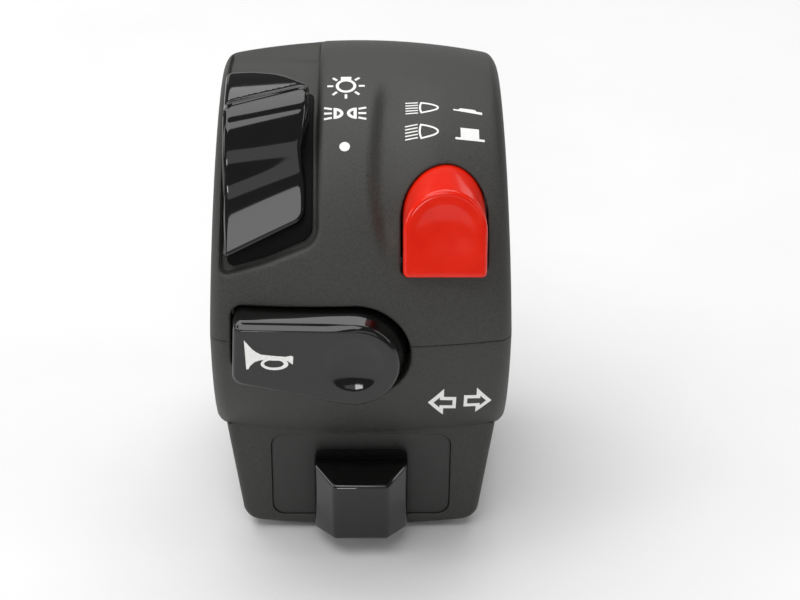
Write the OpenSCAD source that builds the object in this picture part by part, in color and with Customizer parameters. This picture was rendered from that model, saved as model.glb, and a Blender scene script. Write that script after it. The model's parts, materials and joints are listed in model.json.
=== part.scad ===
// Handlebar switch cluster for a motorbike: light lever, dip button, horn button and turn slider
// in a two-part housing that clamps round a 22.2 mm handlebar. All sizes are in millimetres.
// X runs along the handlebar, -Y faces the rider, Z is up; the origin is the middle of the bore.

/* [Housing] */
// Width of the housing along the handlebar
body_w = 42.5; // [41:0.5:46]
// Radius of the rider-side barrel, from the handlebar axis
barrel_r = 30.5; // [30:0.25:33]
// Radius of the crown across the width
crown_r = 100; // [85:5:160]
// Rounding of the two end edges
edge_r = 2; // [1.5:0.25:2.5]
// Wall thickness of the shells
wall = 2; // [1.8:0.1:2.2]
// Thickness of the two end walls that hold the handlebar
end_wall = 2.6; // [2.4:0.1:2.8]
// Distance of the flat back from the handlebar axis
back_y = 20; // [20:0.25:23]
// How far the barrel reaches below the handlebar axis
lip_drop = 18.5; // [18:0.25:20]
// Rounding of the back's upper edge
back_r = 8; // [6:0.5:9]
// Rounding of the barrel's lower lip
lip_r = 1.3; // [0.8:0.1:1.6]
// Lean of the end faces above the handlebar axis, for each millimetre of height
draft = 0.04; // [0.02:0.005:0.04]
// Depth of the swept crease in the middle of the front
crease_depth = 0.9; // [0.5:0.05:1]

/* [Skirt] */
// Distance of the skirt's front face from the handlebar axis
skirt_front = 22.5; // [22:0.25:24]
// Distance of the skirt's back face behind the handlebar axis
skirt_back = 7; // [6:0.5:10]
// How far the skirt reaches below the handlebar axis
skirt_drop = 37; // [36.5:0.25:40]
// Width of the skirt at its top
skirt_top_w = 40; // [39:0.25:41]
// Width of the skirt near its bottom
skirt_bottom_w = 35.6; // [35:0.2:38]
// Rounding of the skirt's bottom corners
skirt_corner_r = 3; // [2:0.25:4]
// Rise of the skirt's bottom edge towards its corners
skirt_crown = 0.9; // [0.5:0.1:2]

/* [Handlebar] */
// Diameter of the handlebar
bar_d = 22.2; // [22:0.1:22.4]

/* [Clamp screws] */
// Thread diameter of the two clamp screws
clamp_d = 4; // [3:0.5:4]
// Distance between the two clamp screws
clamp_spread = 22; // [20:0.5:24]
// Diameter of the screw heads
clamp_head_d = 6.5; // [6:0.25:7]
// Height of the screw heads
clamp_head_h = 3.6; // [3:0.2:4]
// Length of the brass inserts
insert_len = 8.5; // [6:0.5:10]

/* [Light lever] */
// Depth of the lever's channel below the barrel
channel_depth = 3.2; // [3:0.1:3.4]
// Width of the lever's knob
lever_w = 11.6; // [11:0.1:11.8]
// Height of the knob's ridge above the barrel
ridge_h = 2.8; // [2:0.1:4]
// Turn of the lever from one position to the next, in degrees
lever_step = 10.3; // [9:0.1:10.5]

/* [Dip button] */
// Width of the button
dip_w = 11.5; // [11:0.1:11.8]
// Height of the button
dip_h = 12.4; // [12:0.1:12.8]
// Distance of the button's middle from the right end of the housing
dip_inset = 9.75; // [9.5:0.05:10.5]
// Travel of the button
dip_travel = 3; // [2:0.25:3.5]

/* [Horn button] */
// How far the button stands out of the barrel
horn_proud = 2.5; // [2:0.1:3.5]
// Radius of the button's round end
horn_r = 6.6; // [6.2:0.1:6.8]
// Gap round the button
horn_gap = 0.5; // [0.45:0.05:0.7]
// Diameter of the pivot pin
horn_pin_d = 2; // [1.6:0.1:2.2]

/* [Turn slider] */
// Width of the knob at its base
turn_w = 13.8; // [13:0.2:14.4]
// Height of the knob at its base
turn_h = 12.3; // [11.6:0.1:12.6]
// How far the knob stands out of the skirt
turn_proud = 7.5; // [6:0.25:9]
// Travel of the knob to each side
turn_travel = 4; // [3:0.25:4.2]
// Width of the faceplate
panel_w = 26.4; // [26:0.2:27]
// Height of the faceplate
panel_h = 14.4; // [14:0.1:14.6]

/* [Cable outlet] */
// Diameter of the cable that the grommet takes
cable_d = 6; // [5:0.25:7]

/* [Fits] */
// Gap between a moving piece and what it moves past
play = 0.3; // [0.25:0.01:0.35]
// Radial clearance of a pin or screw in its hole
pin_fit = 0.05; // [0.03:0.01:0.08]

/* [Hidden] */
$fn = 64;
bore_r = bar_d / 2;
hw = body_w / 2;
hw_in = hw - end_wall;
inner_r = barrel_r - wall;

// Clamp screws: the heads sit in counterbores of the lower shell's floor
clamp_y = back_y - 5;
clamp_x = clamp_spread / 2;
boss_r = 4.3;
seat_z = -lip_drop + clamp_head_h + 0.6;
insert_r = clamp_d / 2 + 0.9;

// Light lever: all its pieces turn about the handlebar axis
floor_r = barrel_r - channel_depth;
pad_r = floor_r - 1.8;
chan_x0 = -hw + 1.85;
lever_x0 = chan_x0 + 0.35;
lever_x1 = lever_x0 + lever_w;
chan_x1 = lever_x1 + 1.5;
stem_a = 54;
stem_x = (lever_x0 + lever_x1) / 2;
carrier_r1 = pad_r - play;
carrier_r0 = carrier_r1 - 5.8;
carrier_x0 = -hw_in + play;
carrier_x1 = carrier_x0 + 7.7;
carrier_r = (carrier_r0 + carrier_r1) / 2;
board_x0 = carrier_x1 + 1.8;
rib_x0 = board_x0 + 0.9;
rib_x1 = rib_x0 + 1.5;
rail_r1 = carrier_r0 - 2.3;
rail_r0 = rail_r1 - 1.2;
lever_swing = 2 * lever_step;
light_screw_r = rail_r1 + 1.9;

// Dip button: a straight prism along Y with an arched top
dip_r = dip_w / 2;
dip_x = hw - dip_inset;
dip_z0 = 10.55;
dip_zc = dip_z0 + dip_h - dip_r;
dip_front = -sqrt(pow(skin_r(dip_x), 2) - pow(dip_z0, 2)) - 0.4;
dip_back = dip_front + 12.2;
dip_in = dip_front + 2.8;
dip_wall = 1.5;
dip_bw = 2 * (dip_r - dip_wall - play);
dip_bz0 = dip_z0 + dip_wall + play;
dip_bz1 = dip_zc + 0.8;
dip_bz = (dip_bz0 + dip_bz1) / 2;
dip_body_y0 = dip_back - 0.3;
dip_body_y1 = dip_back + 11;
dip_floor_y = dip_body_y1 - 1.5;
dip_hole = 3.6 + 2 * play;
plunger_y1 = dip_body_y0 + 3;
dip_ear_x = dip_bw / 2 + 1.5;
dip_ear_y = dip_body_y1 - 2;
dip_terminal_z = dip_bz0 + 0.8;
web_x1 = dip_x - dip_ear_x - 2.55;

// Horn button: turns about an upright pin at its left end
horn_front = -barrel_r - horn_proud;
horn_base = -barrel_r + 3.9;
horn_cx = -1.3;
horn_cz = -1.3;
horn_px = -hw + 5.25;
horn_py = -barrel_r + 5;
horn_hub_r = horn_pin_d / 2 + 1;
horn_hub_z0 = -4.1;
horn_hub_z1 = 5.5;
horn_top_z = 6.3;
horn_low_z = -5;
horn_pin_z0 = horn_low_z - 3.2;
horn_pin_z1 = horn_top_z + 2.4;
horn_base_y = horn_base + 7.1;
horn_press_a = 5;
horn_contact_x = 2;
horn_contact_y = horn_base + 1.5;
horn_tip_y = horn_contact_y + (horn_contact_x - horn_px + 1.3) * sin(horn_press_a) + 0.1;

// Wall across the lower shell that carries the horn and turn contacts
bulk_y0 = -bore_r - 2.3;
bulk_y1 = -bore_r - 0.8;

// Turn slider: knob, carriage and contacts stand one behind the other
turn_z = -28.7;
face_y = -skirt_front + 0.4;
face_back = face_y + 1.6;
flange_y = face_back + 1.2;
flange_w = panel_w + 2.8;
flange_h = panel_h + 0.5;
flange_z = turn_z + 1.75;
carriage_y0 = flange_y + play;
carriage_y1 = carriage_y0 + 2.4;
knob_front = -skirt_front - turn_proud;
knob_back = -skirt_front - 0.15;
stem_hx = 2.5;
stem_hz = 1.9;
slot_hx = stem_hx + turn_travel + play;
slot_hz = stem_hz + play;
carriage_hx = slot_hx + turn_travel + 0.4;
carriage_hz = 5.1;
board_y0 = bulk_y0 - 1.5;
grommet_z = -28;
cable_r = cable_d / 2;
grommet_r = cable_r + 1.5;

// Radius of the barrel's skin at a place across the width
function skin_r(x) = barrel_r - crown_r + sqrt(pow(crown_r, 2) - pow(x, 2));

// Point at an angle above the rider's side, on a radius about the handlebar
function polar(a, r) = [-r * cos(a), r * sin(a)];

// Points along an arc
function arc(c, r, a0, a1, n) =
  [for (i = [0 : n]) c + r * [cos(a0 + (a1 - a0) * i / n), sin(a0 + (a1 - a0) * i / n)]];

// Half section of the barrel as [radius, x], with crown and rounded end edges
function section(top, half, round_r) =
  let (cy = top - crown_r,
       fx = half - round_r,
       fy = cy + sqrt(pow(crown_r - round_r, 2) - pow(fx, 2)),
       at = asin(fx / (crown_r - round_r)))
  concat([[0, -half]],
    [for (p = arc([0, 0], round_r, 90, at, 4)) [fy + round_r * cos(asin(p[1] / round_r)), -fx - p[1]]],
    [for (i = [1 : 9]) let (a = at * (1 - i / 5)) [cy + crown_r * cos(a), -crown_r * sin(a)]],
    [for (p = arc([0, 0], round_r, at, 90, 4)) [fy + round_r * cos(asin(p[1] / round_r)), fx + p[1]]],
    [[0, half]]);

// Angle of the outer tangent from one circle [x, y, r] to the next
function tangent_a(a, b) =
  atan2(b[1] - a[1], b[0] - a[0]) - acos((a[2] - b[2]) / norm([b[0] - a[0], b[1] - a[1]]));

// Outline of a belt pulled round circles that are listed anticlockwise
function belt(c, n, grow = 0) =
  let (m = len(c))
  [for (i = [0 : m - 1])
    let (a0 = tangent_a(c[(i + m - 1) % m], c[i]),
         a1 = tangent_a(c[i], c[(i + 1) % m]),
         turn = ((a1 - a0) % 360 + 360) % 360)
    each arc([c[i][0], c[i][1]], c[i][2] + grow, a0, a0 + turn, n)];

// Rectangle with round corners, about a centre
function rounded(w, h, r, c) =
  let (x = w / 2 - r, z = h / 2 - r)
  belt([[c[0] + x, c[1] - z, r], [c[0] + x, c[1] + z, r],
        [c[0] - x, c[1] + z, r], [c[0] - x, c[1] - z, r]], 6);

// Arched outline of the dip button, drawn in by an inset
function arch(inset) =
  concat([[dip_x - dip_r + inset, dip_z0 + inset], [dip_x + dip_r - inset, dip_z0 + inset]],
    arc([dip_x, dip_zc], dip_r - inset, 0, 180, 24));

// Circles that the horn button's outline is pulled round, at its front or at its base
function horn_circles(base) =
  [[-16.1, -2.6, base ? 1.9 : 1.6],
   [horn_cx + (base ? 0.3 : 0), horn_cz, horn_r + (base ? 0.7 : -0.2)],
   [-16.3, 4.6, base ? 1.5 : 1.3]];

// Outline of the skirt seen from the front, drawn in by an inset
function skirt_outline(inset) =
  let (t = skirt_top_w / 2 - inset,
       b = skirt_bottom_w / 2 - skirt_corner_r,
       z = -skirt_drop + skirt_crown + skirt_corner_r,
       r = skirt_corner_r - inset * 0.9)
  concat([[t, -lip_drop + 2], [-t, -lip_drop + 2]],
    arc([-b, z], r, 184, 264, 6),
    [for (i = [-3 : 3]) [b * i / 4, -skirt_drop + 0.9 * inset + skirt_crown * pow(i / 4, 2)]],
    arc([b, z], r, 276, 356, 6));

// Solid between rings of points with equal counts, the first and last closed
module loft(rings) {
  n = len(rings[0]);
  m = len(rings);
  polyhedron(
    points = [for (r = rings) each r],
    faces = concat(
      [[for (j = [0 : n - 1]) j]],
      [for (i = [0 : m - 2]) for (j = [0 : n - 1]) [i * n + j, (i + 1) * n + j, (i + 1) * n + (j + 1) % n]],
      [for (i = [0 : m - 2]) for (j = [0 : n - 1]) [i * n + j, (i + 1) * n + (j + 1) % n, i * n + (j + 1) % n]],
      [[for (j = [n - 1 : -1 : 0]) (m - 1) * n + j]]));
}

// Wire wound into a coil along Z from the origin
module coil(r, wire, turns, h) {
  steps = 8 * turns;
  loft([for (i = [0 : steps])
    let (t = 360 * turns * i / steps,
         e = [cos(t), sin(t), 0],
         k = [-sin(t), cos(t), h / turns / (2 * PI * r)],
         u = k / norm(k),
         b = cross(e, u))
    [for (j = [0 : 5]) r * e + [0, 0, h * i / steps] + wire * (cos(60 * j) * e - sin(60 * j) * b)]]);
}

// Turns a flat section of [radius, x] about the handlebar, from angle a0 up to a1
module about_bar(a0, a1) {
  rotate([0, 90, 0])
    rotate([0, 0, 270 - a1])
      rotate_extrude(angle = a1 - a0)
        children();
}

// Curved block about the handlebar
module sector(r0, r1, x0, x1, a0, a1) {
  about_bar(a0, a1)
    translate([r0, x0])
      square([r1 - r0, x1 - x0]);
}

// Local Z to the radial direction at an angle, local X along the handlebar
module radial(a, x = 0) {
  translate([x, 0, 0])
    rotate([90 - a, 0, 0])
      children();
}

// Flat shape in X and Z carried along Y
module along_y(y0, y1) {
  translate([0, y1, 0])
    rotate([90, 0, 0])
      linear_extrude(y1 - y0)
        children();
}

// Box between two corners
module box(a, b) {
  translate(a)
    cube(b - a);
}

// Round bar along Y
module rod_y(x, z, r, y0, y1) {
  translate([x, y1, z])
    rotate([90, 0, 0])
      cylinder(r = r, h = y1 - y0);
}

// Housing seen along the handlebar as [y, z]: barrel, round lip, flat floor, back with a round upper edge
function side_view(inset) =
  let (low = -lip_drop + inset,
       lip_a = asin((low + lip_r) / (barrel_r - inset - lip_r)),
       back_z = sqrt(pow(barrel_r - back_r, 2) - pow(back_y - back_r, 2)),
       top_a = atan2(back_z, back_y - back_r))
  concat(
    [[-barrel_r - 1, barrel_r + 1], [-barrel_r - 1, (barrel_r - inset) * sin(lip_a)]],
    arc(polar(lip_a, barrel_r - inset - lip_r), lip_r, 180 - lip_a, 270, 5),
    arc([back_y - inset - lip_r, low + lip_r], lip_r, 270, 360, 5),
    arc([back_y - back_r, back_z], back_r - inset, 0, top_a, 9),
    [[barrel_r * cos(top_a), barrel_r + 1]]);

// Housing seen from above as [x, y]: its back is crowned and has round corners, like the barrel
function top_view(inset, half, round_r) =
  concat([for (p = section(back_y - inset, half, round_r)) [p[1], p[0]]],
    [[half, -barrel_r - 1], [-half, -barrel_r - 1]]);

// Whole housing solid with its skin drawn in by an inset: a crowned barrel with a crowned back,
// whose end faces lean in above the handlebar
module body(inset, end_inset, round_r) {
  half = hw - end_inset;
  top_half = half - (inset > 0 ? 0 : draft * barrel_r);
  intersection() {
    rotate([0, 90, 0])
      rotate_extrude()
        polygon(section(barrel_r - inset, half, round_r));
    translate([-hw, 0, 0])
      rotate([90, 0, 90])
        linear_extrude(body_w)
          polygon(side_view(inset));
    translate([0, 0, -barrel_r])
      linear_extrude(2 * barrel_r)
        polygon(top_view(inset, half, round_r));
    along_y(-barrel_r - 1, back_y + 1)
      polygon([[-half, -barrel_r], [half, -barrel_r], [half, 0], [top_half, barrel_r], [-top_half, barrel_r],
        [-half, 0]]);
  }
}

// Space of the lever's channel above its floor, with a slanted and rounded lower end
module channel() {
  difference() {
    sector(floor_r, barrel_r + 9, chan_x0, chan_x1, 12, 111);
    radial(33)
      linear_extrude(barrel_r + 12)
        polygon(concat(
          [[chan_x0 - 1, -7.3], [chan_x0 - 1, -30], [chan_x1 + 1, -30], [chan_x1 + 1, 1.3]],
          arc([chan_x1 - 3.5, 1.3], 3.6, 0, -70, 5),
          [[chan_x0 + 6.2, -5]]));
  }
}

// Place of the swept crease across the width, at an angle above the rider's side
function crease_x(a) = 1.2 + 2 * pow(abs(a - 44) / (a < 44 ? 24 : 46), 1.5);

// Share of the crease's depth at an angle: it fades towards both ends
function crease_share(a) = min(1, (a - 22) / 14, (82 - a) / 16);

// Wedge that is cut away to the right of the crease, from its full depth to nothing
module crease_cut() {
  spread = 9.5;
  clear = 0.12;
  loft([for (a = [22 : 4 : 82])
    let (x0 = crease_x(a),
         x1 = x0 + spread,
         low = skin_r(x0) + clear - (crease_depth + clear) * crease_share(a))
    [for (p = [[low, x0], [barrel_r + 2, x0], [barrel_r + 2, x1], [skin_r(x1) + clear, x1]])
      concat([p[1]], polar(a, p[0]))]]);
}

// Opening for the horn button, through the front of both shells
module horn_opening() {
  along_y(-barrel_r - 5, -20)
    polygon(belt(horn_circles(true), 10, horn_gap));
}

// Bore for the handlebar
module bar_bore() {
  translate([-hw - 1, 0, 0])
    rotate([0, 90, 0])
      cylinder(r = bore_r, h = body_w + 2);
}

// One clamp screw hole or insert place at each side
module at_clamps() {
  for (s = [-1, 1])
    translate([s * clamp_x, clamp_y, 0])
      children();
}

module upper_shell() {
  color("#2f2f2d")
  difference() {
    intersection() {
      union() {
        difference() {
          body(0, 0, edge_r);
          body(wall, end_wall, 0.6);
        }
        sector(pad_r, inner_r + 0.3, -hw, chan_x1 + 1.5, 13, 113);
        sector(bore_r - 1, inner_r + 0.3, rib_x0, rib_x1, 22, 118);
        sector(rail_r0, rail_r1, -hw_in - 0.5, rib_x0 + 0.2, 25, 115);
        sector(bore_r - 1, inner_r + 0.3, web_x1 - 1.5, web_x1, 62, 140);
        at_clamps()
          cylinder(r = boss_r, h = 14);
        for (s = [-1, 1])
          translate([dip_x + s * dip_ear_x, dip_ear_y, dip_bz1])
            cylinder(r = 2, h = barrel_r - dip_bz1);
        translate([horn_px, horn_py, horn_top_z + 0.3])
          cylinder(r = horn_hub_r + 0.2, h = 3);
      }
      body(0, 0, edge_r);
      translate([-hw - 1, -barrel_r - 1, 0])
        cube([body_w + 2, 2 * barrel_r + 2, barrel_r + 1]);
    }
    channel();
    crease_cut();
    sector(pad_r - 1, barrel_r, stem_x - 1.7, stem_x + 1.7, stem_a - 5, stem_a + lever_swing + 5);
    along_y(-barrel_r - 2, dip_back + 1)
      polygon(arch(-play));
    horn_opening();
    bar_bore();
    at_clamps()
      translate([0, 0, -1])
        cylinder(r = insert_r, h = insert_len + 1);
    at_clamps()
      cylinder(r = clamp_d / 2 + 0.2, h = 12.5);
    for (s = [-1, 1])
      translate([dip_x + s * dip_ear_x, dip_ear_y, dip_bz1 - 1])
        cylinder(r = 0.8 + pin_fit, h = 7);
    translate([horn_px, horn_py, horn_top_z - 1])
      cylinder(r = horn_pin_d / 2 + pin_fit, h = horn_pin_z1 - horn_top_z + 1 + pin_fit);
    for (a = [35, 95])
      light_screw_hole(a, 0.8 + pin_fit, rib_x0 - 1, rib_x1 + 1);
    for (a = [45, 62, 79])
      light_screw_hole(a, 1.6, rib_x0 - 1, rib_x1 + 1, carrier_r);
  }
}

// Hole along the handlebar through the light board or its rib
module light_screw_hole(a, r, x0, x1, at = light_screw_r) {
  radial(a, x0)
    translate([0, 0, at])
      rotate([0, 90, 0])
        cylinder(r = r, h = x1 - x0);
}

module lower_shell() {
  color("#2f2f2d")
  difference() {
    union() {
      intersection() {
        union() {
          difference() {
            body(0, 0, edge_r);
            intersection() {
              body(wall, end_wall, 0.6);
              translate([-hw, -barrel_r, -lip_drop + 2])
                cube([body_w, 2 * barrel_r, barrel_r]);
            }
          }
          at_clamps()
            translate([0, 0, -lip_drop])
              cylinder(r = boss_r, h = lip_drop);
          for (x = [-9, 7.5])
            box([x, bulk_y0, -lip_drop + 1], [x + 1.5, back_y - 1, 0]);
          box([-hw_in - 0.5, bulk_y0, -lip_drop + 1], [hw_in + 0.5, bulk_y1, -1]);
          translate([horn_px, horn_py, -lip_drop])
            cylinder(r = horn_hub_r + 0.2, h = lip_drop + horn_low_z);
        }
        body(0, 0, edge_r);
        translate([-hw - 1, -barrel_r - 1, -lip_drop])
          cube([body_w + 2, 2 * barrel_r + 2, lip_drop]);
      }
      along_y(-skirt_front, skirt_back)
        polygon(skirt_outline(0));
    }
    skirt_room();
    horn_opening();
    bar_bore();
    at_clamps()
      translate([0, 0, -lip_drop - 1])
        cylinder(r = clamp_d / 2 + 0.2, h = lip_drop + 2);
    at_clamps()
      translate([0, 0, -lip_drop - 1])
        cylinder(r = clamp_head_d / 2 + 0.3, h = seat_z + lip_drop + 1);
    translate([horn_px, horn_py, horn_pin_z0])
      cylinder(r = horn_pin_d / 2 + pin_fit, h = 10);
    along_y(-skirt_front - 1, face_back)
      polygon(rounded(panel_w + 0.2, panel_h + 0.2, 2, [0, turn_z + 1.4]));
    rod_y(0, grommet_z, grommet_r + 0.05, skirt_back - 3, skirt_back + 1);
    for (p = concat(horn_screws(), turn_screws()))
      rod_y(p[0], p[1], 0.8 + pin_fit, bulk_y0 - 1, bulk_y1 + 1);
    for (x = [-8, 0, 8])
      rod_y(x, turn_z, 1.5, bulk_y0 - 1, bulk_y1 + 1);
    rod_y(horn_contact_x, -4, 1.5, bulk_y0 - 1, bulk_y1 + 1);
  }
  // Strip that the turn slider's detent spring rests against
  color("#2f2f2d")
    box([2 - skirt_top_w / 2, carriage_y0, turn_z + carriage_hz + 2.1],
      [skirt_top_w / 2 - 2, carriage_y0 + 1.8, -lip_drop]);
  // Lower part of the wall across the shell
  color("#2f2f2d")
  difference() {
    along_y(bulk_y0, bulk_y1)
      polygon(skirt_outline(1.6));
    for (p = turn_screws())
      rod_y(p[0], p[1], 0.8 + pin_fit, bulk_y0 - 1, bulk_y1 + 1);
    for (x = [-8, 0, 8])
      rod_y(x, turn_z, 1.5, bulk_y0 - 1, bulk_y1 + 1);
  }
}

// Room inside the skirt
module skirt_room() {
  difference() {
    along_y(face_back, skirt_back - 2)
      polygon(skirt_outline(2));
    along_y(face_back - 1, flange_y)
      difference() {
        square(100, center = true);
        polygon(rounded(flange_w + 0.2, flange_h + 0.2, 2.6, [0, flange_z]));
      }
  }
}

// Places of the small screws on the wall across the lower shell, as [x, z]
function horn_screws() = [[-4.6, -9.5], [5.1, -9.5]];
function turn_screws() = [[-10.6, -25], [10.6, -25]];

module clamp_screws() {
  color("#8d9094")
  at_clamps()
    difference() {
      union() {
        translate([0, 0, seat_z - clamp_head_h])
          cylinder(r = clamp_head_d / 2, h = clamp_head_h);
        translate([0, 0, seat_z - 0.5])
          cylinder(r = clamp_d / 2 - pin_fit, h = insert_len - seat_z + 0.5);
      }
      translate([0, 0, seat_z - clamp_head_h - 1])
        cylinder(r = clamp_d * 0.43, h = 3, $fn = 6);
    }
}

module clamp_inserts() {
  color("#b8923f")
  at_clamps()
    difference() {
      cylinder(r = insert_r, h = insert_len);
      translate([0, 0, -1])
        cylinder(r = clamp_d / 2, h = insert_len + 2);
    }
}

module cable_grommet() {
  color("#1b1b1b")
  difference() {
    union() {
      rod_y(0, grommet_z, grommet_r, skirt_back - 2, skirt_back);
      rod_y(0, grommet_z, grommet_r + 1.5, skirt_back, skirt_back + 1.6);
      rod_y(0, grommet_z, grommet_r + 1.2, skirt_back - 3.4, skirt_back - 2);
    }
    rod_y(0, grommet_z, cable_r, skirt_back - 5, skirt_back + 3);
  }
}

// Outline of the lever's knob in Y and Z at a place across its width, from its tail over its ridge
function lever_ring(x) =
  let (s = (x - lever_x0) / lever_w,
       tail = 24.8 + 10.7 * s,
       ridge = 64 + 5.5 * s,
       top = 88 - 7 * s,
       r_tail = barrel_r - 0.2,
       r_ridge = barrel_r + ridge_h,
       r_foot = floor_r + 0.6,
       r_in = floor_r + 0.2)
  concat(
    [for (i = [0 : 3]) let (a = top + (ridge + 1 - top) * i / 3)
      [x, each polar(a, r_foot + (r_ridge - r_foot) * i / 3)]],
    [for (i = [0 : 8]) let (u = 1 - i / 8, a = tail + (ridge - 1 - tail) * u)
      [x, each polar(a, r_tail + (r_ridge - r_tail) * u - 8.4 * u * (1 - u))]],
    [for (i = [0 : 10]) let (a = tail + (top - tail) * i / 10) [x, each polar(a, r_in)]]);

module light_lever() {
  color("#141414") {
    loft([for (i = [0 : 6]) lever_ring(lever_x0 + lever_w * i / 6)]);
    radial(stem_a, stem_x)
      translate([-1.3, -1.8, carrier_r])
        cube([2.6, 3.6, floor_r + 1 - carrier_r]);
  }
}

module light_carrier() {
  color("#d8d4c8")
  difference() {
    sector(carrier_r0, carrier_r1, carrier_x0, carrier_x1, stem_a - 24, stem_a + 12);
    radial(stem_a, stem_x)
      translate([-1.3, -1.8, carrier_r])
        cube([2.6, 3.6, 10]);
    for (i = [0 : 2])
      radial(stem_a - i * lever_step)
        translate([carrier_x0 - 1, 0, carrier_r0 - 0.3])
          rotate([0, 90, 0])
            cylinder(r = 0.8, h = 10);
  }
}

module light_bridge() {
  color("#b8923f")
    sector(carrier_r - 1.2, carrier_r + 1.2, carrier_x1, carrier_x1 + 0.9, 44, 63);
}

module light_contact_board() {
  color("#6b4a2a")
  difference() {
    sector(rail_r1 + 0.2, carrier_r1 - 0.1, board_x0, rib_x0, 28, 101);
    for (a = [35, 95])
      light_screw_hole(a, 0.8 + pin_fit, board_x0 - 1, rib_x0 + 1);
    for (a = [45, 62, 79])
      light_screw_hole(a, 0.7, board_x0 - 1, rib_x0 + 1, carrier_r);
  }
}

module light_terminals() {
  color("#b8923f")
  for (a = [45, 62, 79]) {
    light_screw_hole(a, 1.2, board_x0 - 0.6, board_x0, carrier_r);
    light_screw_hole(a, 0.7, board_x0 - 0.1, rib_x1 + 1.6, carrier_r);
  }
}

module light_board_screws() {
  color("#8d9094")
  for (a = [35, 95])
    difference() {
      union() {
        light_screw_hole(a, 1.5, board_x0 - 1, board_x0);
        light_screw_hole(a, 0.8, board_x0 - 0.1, rib_x1);
      }
      light_screw_hole(a, 0.6, board_x0 - 2, board_x0 - 0.4);
    }
}

module light_detent_spring() {
  color("#9a9ca0")
  radial(stem_a, carrier_x0 + 2)
    translate([0, 0, rail_r1 + 0.1])
      rotate([90, 0, 90])
        linear_extrude(3.6)
          polygon([[-4.2, 0.05], [-3.6, 0.05], [-0.25, 2], [0.25, 2], [3.6, 0.05], [4.2, 0.05],
            [4.2, 0.35], [3.7, 0.35], [0.35, 2.3], [-0.35, 2.3], [-3.7, 0.35], [-4.2, 0.35]]);
}

module dip_button() {
  color("#d8261a")
  difference() {
    along_y(dip_front, dip_back)
      polygon(arch(0));
    along_y(dip_in, dip_back + 1)
      polygon(arch(dip_wall));
    translate([dip_x, dip_front - 17, dip_zc - 1.5])
      sphere(r = 17.9);
  }
}

module dip_plunger() {
  color("#e4e0d4")
  difference() {
    translate([dip_x - 1.8, dip_in, dip_bz - 1.8])
      cube([3.6, plunger_y1 - dip_in, 3.6]);
    translate([dip_x - 0.6, dip_body_y0 + 0.6 - dip_travel, dip_bz + 1])
      cube([1.2, 10, 1]);
  }
}

module dip_bridge() {
  color("#b8923f")
    translate([dip_x - 1.8, plunger_y1, dip_bz - 1.8])
      cube([3.6, 0.8, 3.6]);
}

module dip_switch_body() {
  color("#d8d4c8")
  difference() {
    union() {
      translate([dip_x - dip_bw / 2, dip_body_y0, dip_bz0])
        cube([dip_bw, dip_body_y1 - dip_body_y0, dip_bz1 - dip_bz0]);
      translate([dip_x - dip_ear_x - 1.4, dip_body_y1 - 4, dip_bz1 - 2])
        cube([2 * dip_ear_x + 2.8, 4, 2]);
    }
    translate([dip_x - dip_hole / 2, dip_body_y0 - 1, dip_bz - dip_hole / 2])
      cube([dip_hole, dip_floor_y - dip_body_y0 + 1, dip_hole]);
    translate([dip_x, dip_body_y0 + 1.2, dip_bz])
      cylinder(r = 0.45, h = 10);
    for (s = [-1, 1])
      translate([dip_x + s * dip_ear_x, dip_ear_y, dip_bz1 - 3])
        cylinder(r = 0.8 + pin_fit, h = 4);
    for (i = [-1 : 1])
      rod_y(dip_x + 2.6 * i, dip_terminal_z, 0.5, dip_floor_y - 2, dip_body_y1 + 1);
  }
}

module dip_terminals() {
  color("#b8923f")
  for (i = [-1 : 1])
    rod_y(dip_x + 2.6 * i, dip_terminal_z, 0.5, dip_floor_y - 2, dip_body_y1 + 2.4);
}

module dip_body_screws() {
  color("#8d9094")
  for (s = [-1, 1])
    translate([dip_x + s * dip_ear_x, dip_ear_y, 0])
      difference() {
        union() {
          translate([0, 0, dip_bz1 - 3.1])
            cylinder(r = 1.4, h = 1.1);
          translate([0, 0, dip_bz1 - 2.1])
            cylinder(r = 0.8, h = 7);
        }
        translate([0, 0, dip_bz1 - 4])
          cylinder(r = 0.6, h = 1.5);
      }
}

module dip_spring() {
  color("#9a9ca0")
  translate([dip_x, dip_floor_y - 0.25, dip_bz])
    rotate([90, 0, 0])
      coil(1.2, 0.2, 5, dip_floor_y - plunger_y1 - 1.3);
}

module dip_latch_pin() {
  color("#9a9ca0")
    translate([dip_x, dip_body_y0 + 1.2, dip_bz + 1.3])
      cylinder(r = 0.4, h = dip_bz1 - dip_bz - 1.3);
}

module horn_button() {
  color("#141414")
  difference() {
    union() {
      difference() {
        loft([for (p = [[horn_base, true], [-barrel_r - 0.3, true], [horn_front + 0.6, false]])
               [for (q = belt(horn_circles(p[1]), 10)) [q[0], p[0], q[1]]]]);
        translate([horn_cx + 0.3, horn_front - 8, horn_cz])
          sphere(r = 9.1);
      }
      difference() {
        along_y(horn_front, horn_front + 0.7)
          polygon(belt(horn_circles(false), 10, -0.5));
        translate([horn_cx + 0.3, horn_front - 8, horn_cz])
          sphere(r = 9.1);
      }
      translate([horn_px, horn_py, horn_hub_z0])
        cylinder(r = horn_hub_r, h = horn_hub_z1 - horn_hub_z0);
      box([horn_cx + 6.8, -barrel_r + wall + 0.75, -3], [horn_cx + 10, horn_base + 0.9, 1]);
      box([horn_cx + 4, horn_base - 0.5, -3], [horn_cx + 10, horn_base + 0.9, 1]);
      rod_y(horn_contact_x, -4, 1.6, horn_base - 0.5, horn_base + 0.9);
    }
    translate([horn_px, horn_py, horn_hub_z0 - 1])
      cylinder(r = horn_pin_d / 2 + pin_fit, h = horn_hub_z1 - horn_hub_z0 + 2);
    rod_y(-3.2, -0.6, 2.3, horn_base - 1.6, horn_base + 2);
  }
}

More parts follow.
